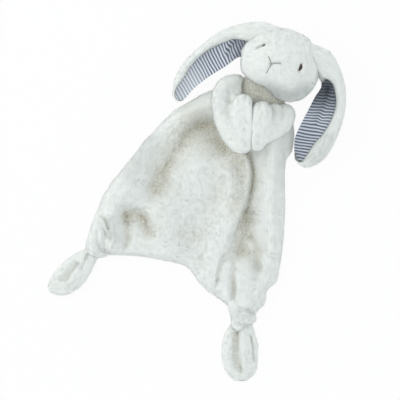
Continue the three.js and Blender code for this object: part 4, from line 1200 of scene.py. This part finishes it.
KNOT_VOXEL = 0.8
LEAF_RINGS = 90
LEAF_SIDES = 72
LEAF_INSET = (1.2, 1.4)
CROWN_SHARE = 0.62
SOLE_SHARE = 0.38
SOLE_HEIGHT = 0.9
# The hinge is in mm from the CAD's origin, the core is a place and radii, and wraps are rows as in the arms
KNOTS = {
    "left": {
        "hinge": (-101.3, -40.5, 13.5),
        "aim": (-0.72, -0.69),
        "painted_grey": ([(94, 242), (98, 250)], 5, 0.1),
        "core": ((96.8, 243.5, 12), (9.6, 10.5, 10)),
        "wraps": [
            [(100, 216, 9, 5), (97.5, 228, 12, 7.2), (96.6, 238.5, 14, 9), (94.4, 247, 14, 9.2),
             (99.5, 251.5, 12.5, 7), (104, 253, 9, 4.5)],
        ],
        "folds": [([(100, 216), (105, 220), (108.5, 228)], 1.8, -1.6),
                  ([(84, 247), (90, 252.5), (98, 256.5)], 2, -1.8),
                  ([(97, 232), (97.5, 240), (100, 247), (105, 252)], 2, -1.6),
                  ([(91, 234), (93, 244)], 4, 0.5)],
    },
    "bottom": {
        "hinge": (45, -112, 13.5),
        "aim": (-0.03, -1.0),
        "painted_grey": ([(238, 315), (250, 315)], 6, 0.28),
        "core": ((242.5, 314, 12), (10.5, 10, 10)),
        "wraps": [
            [(231, 297, 9, 5.5), (235, 306, 11.5, 7), (239, 315, 13.5, 8.2), (238.5, 324, 12, 7.5)],
            [(240, 318, 11.5, 7), (246, 318.2, 12, 8.2), (250.6, 318.6, 9.5, 6.4)],
            [(255, 303, 9, 6), (251, 309, 10.5, 6.8), (247, 314, 11, 7.4)],
        ],
        "folds": [([(240, 310.8), (247, 310.4), (254, 313)], 1.8, -1.4),
                  ([(238, 326), (247, 326.4), (255, 325)], 1.9, -1.8),
                  ([(240.6, 311), (239, 318), (239.6, 325)], 1.7, -1.1)],
    },
}
TAILS = {
    "left": {
        "line": [(96, 249), (90, 255.5), (82.4, 263), (74.4, 271.4), (66.6, 279), (60, 284.2), (53.8, 287.4),
                 (48.6, 289.4)],
        "widths": [(0, 17), (0.12, 18.5), (0.3, 26), (0.5, 31), (0.65, 31.5), (0.77, 29), (0.88, 23),
                   (0.95, 16), (1, 8)],
        "heights": [(0, 11), (0.15, 12), (0.5, 14), (0.8, 12), (1, 7)],
        "folds": [([(75.5, 263.5), (69, 270.5), (63.5, 277), (60, 280.5)], 4.2, -3),
                  ([(79, 263), (73.2, 270), (67.6, 277), (64.2, 281)], 1.5, -2),
                  ([(87.4, 254.6), (84.5, 261), (82, 267.5)], 1.6, -2.2),
                  ([(83, 261.5), (76.5, 270), (71, 278)], 2.4, 1.8),
                  ([(60, 290), (74, 289)], 3, -0.8)],
    },
    "bottom": {
        "line": [(243, 322), (242, 329), (240.6, 339), (240.2, 350), (240.4, 361), (241, 371), (241.2, 381)],
        "widths": [(0, 21), (0.1, 26), (0.25, 34.5), (0.42, 38.5), (0.62, 38.5), (0.8, 34), (0.92, 26.5),
                   (1, 15)],
        "heights": [(0, 11), (0.15, 13), (0.5, 15), (0.8, 13.5), (1, 7)],
        "folds": [([(235.8, 333), (235, 345), (235.4, 358), (238, 370)], 4.6, -4),
                  ([(238, 332), (238.6, 349), (239.8, 362), (241, 373)], 1.5, -2.4),
                  ([(228, 338), (226, 343)], 2, -1.2), ([(243, 331), (244.2, 352), (245.2, 368)], 3.4, 1.6),
                  ([(252, 336.6), (254, 348), (255.3, 361)], 1.7, -3.2)],
    },
}


def ellipsoid(place, radii, sides=28):
    turn, rise = once_round(sides), np.radians(np.linspace(-84, 84, 17))
    rings = [np.column_stack([np.cos(turn) * math.cos(a) * radii[0], np.sin(turn) * math.cos(a) * radii[1],
                              np.full(sides, math.sin(a) * radii[2])]) * MM + spot(*place) for a in rise]
    return loft(rings)


def round_off(values, power):
    return np.sign(values) * np.abs(values) ** power


def leaf_rings(tail):
    """Rings of a puffy leaf: a full crown above and a flat sole on the table."""
    route = curve(line_of(tail["line"]), LEAF_RINGS)
    ways = unit(np.gradient(route, axis=0))
    turn = once_round(LEAF_SIDES)
    rings = []
    for place, way, share in zip(route, ways, np.linspace(0, 1, LEAF_RINGS)):
        half = setting(tail["widths"], share) / 2 - LEAF_INSET[0]
        high = setting(tail["heights"], share) - LEAF_INSET[1]
        beside = round_off(np.cos(turn), 0.8)[:, None] * half
        crown = round_off(np.sin(turn), 0.85) * high * CROWN_SHARE
        ring = place + np.array([way[1], -way[0], 0]) * beside * MM
        above = np.where(np.sin(turn) > 0, crown, np.sin(turn) * high * SOLE_SHARE)
        ring[:, 2] = (SOLE_HEIGHT + high * SOLE_SHARE + above) * MM
        rings.append(ring)
    return rings


for side, seed in (("left", 91), ("bottom", 101)):
    knot, tail = KNOTS[side], TAILS[side]
    aim = unit(np.array([*knot["aim"], 0.0]))
    bodies = [ellipsoid(*knot["core"]), *[tube_through(rows, 40, 24) for rows in knot["wraps"]]]
    cloth = fused(f"{side}_knot_plush", bodies, KNOT_VOXEL, 6, plush)
    press_folds(cloth, knot["folds"], [(12, 0.5), (6, 0.25)], seed)
    # Painted shade in the knot's hollows, and painted grey shade where marked
    paint_shade_in_hollows(cloth, 5)
    mark(cloth, "painted_grey_shade", stroke(read_mesh(cloth)[0], *knot["painted_grey"]) / MM)
    knot_pile = add_pile(cloth, seed)
    hinge = np.array(knot["hinge"])
    for piece in (cloth, knot_pile):
        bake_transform(piece)
    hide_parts(f"{side}_corner_knot")

    leaf = solid_from(f"{side}_leaf_plush", *loft(leaf_rings(tail)), plush)
    press_folds(leaf, tail["folds"], [(14, 0.6), (6, 0.25)], seed + 4)
    # Painted shade in the leaf's hollows
    paint_shade_in_hollows(leaf, 6)

    def down_the_tail(roots, aim=aim):
        return aim + 0.4 * np.stack([wobble(roots, 12, 7), wobble(roots, 12, 8), np.zeros(len(roots))], 1)

    leaf_pile = add_pile(leaf, seed + 5, comb=down_the_tail)
    stands_for(leaf, f"{side}_corner", "plush", f"{side}_corner_tail")
    stands_for(leaf_pile, f"{side}_corner", "plush")
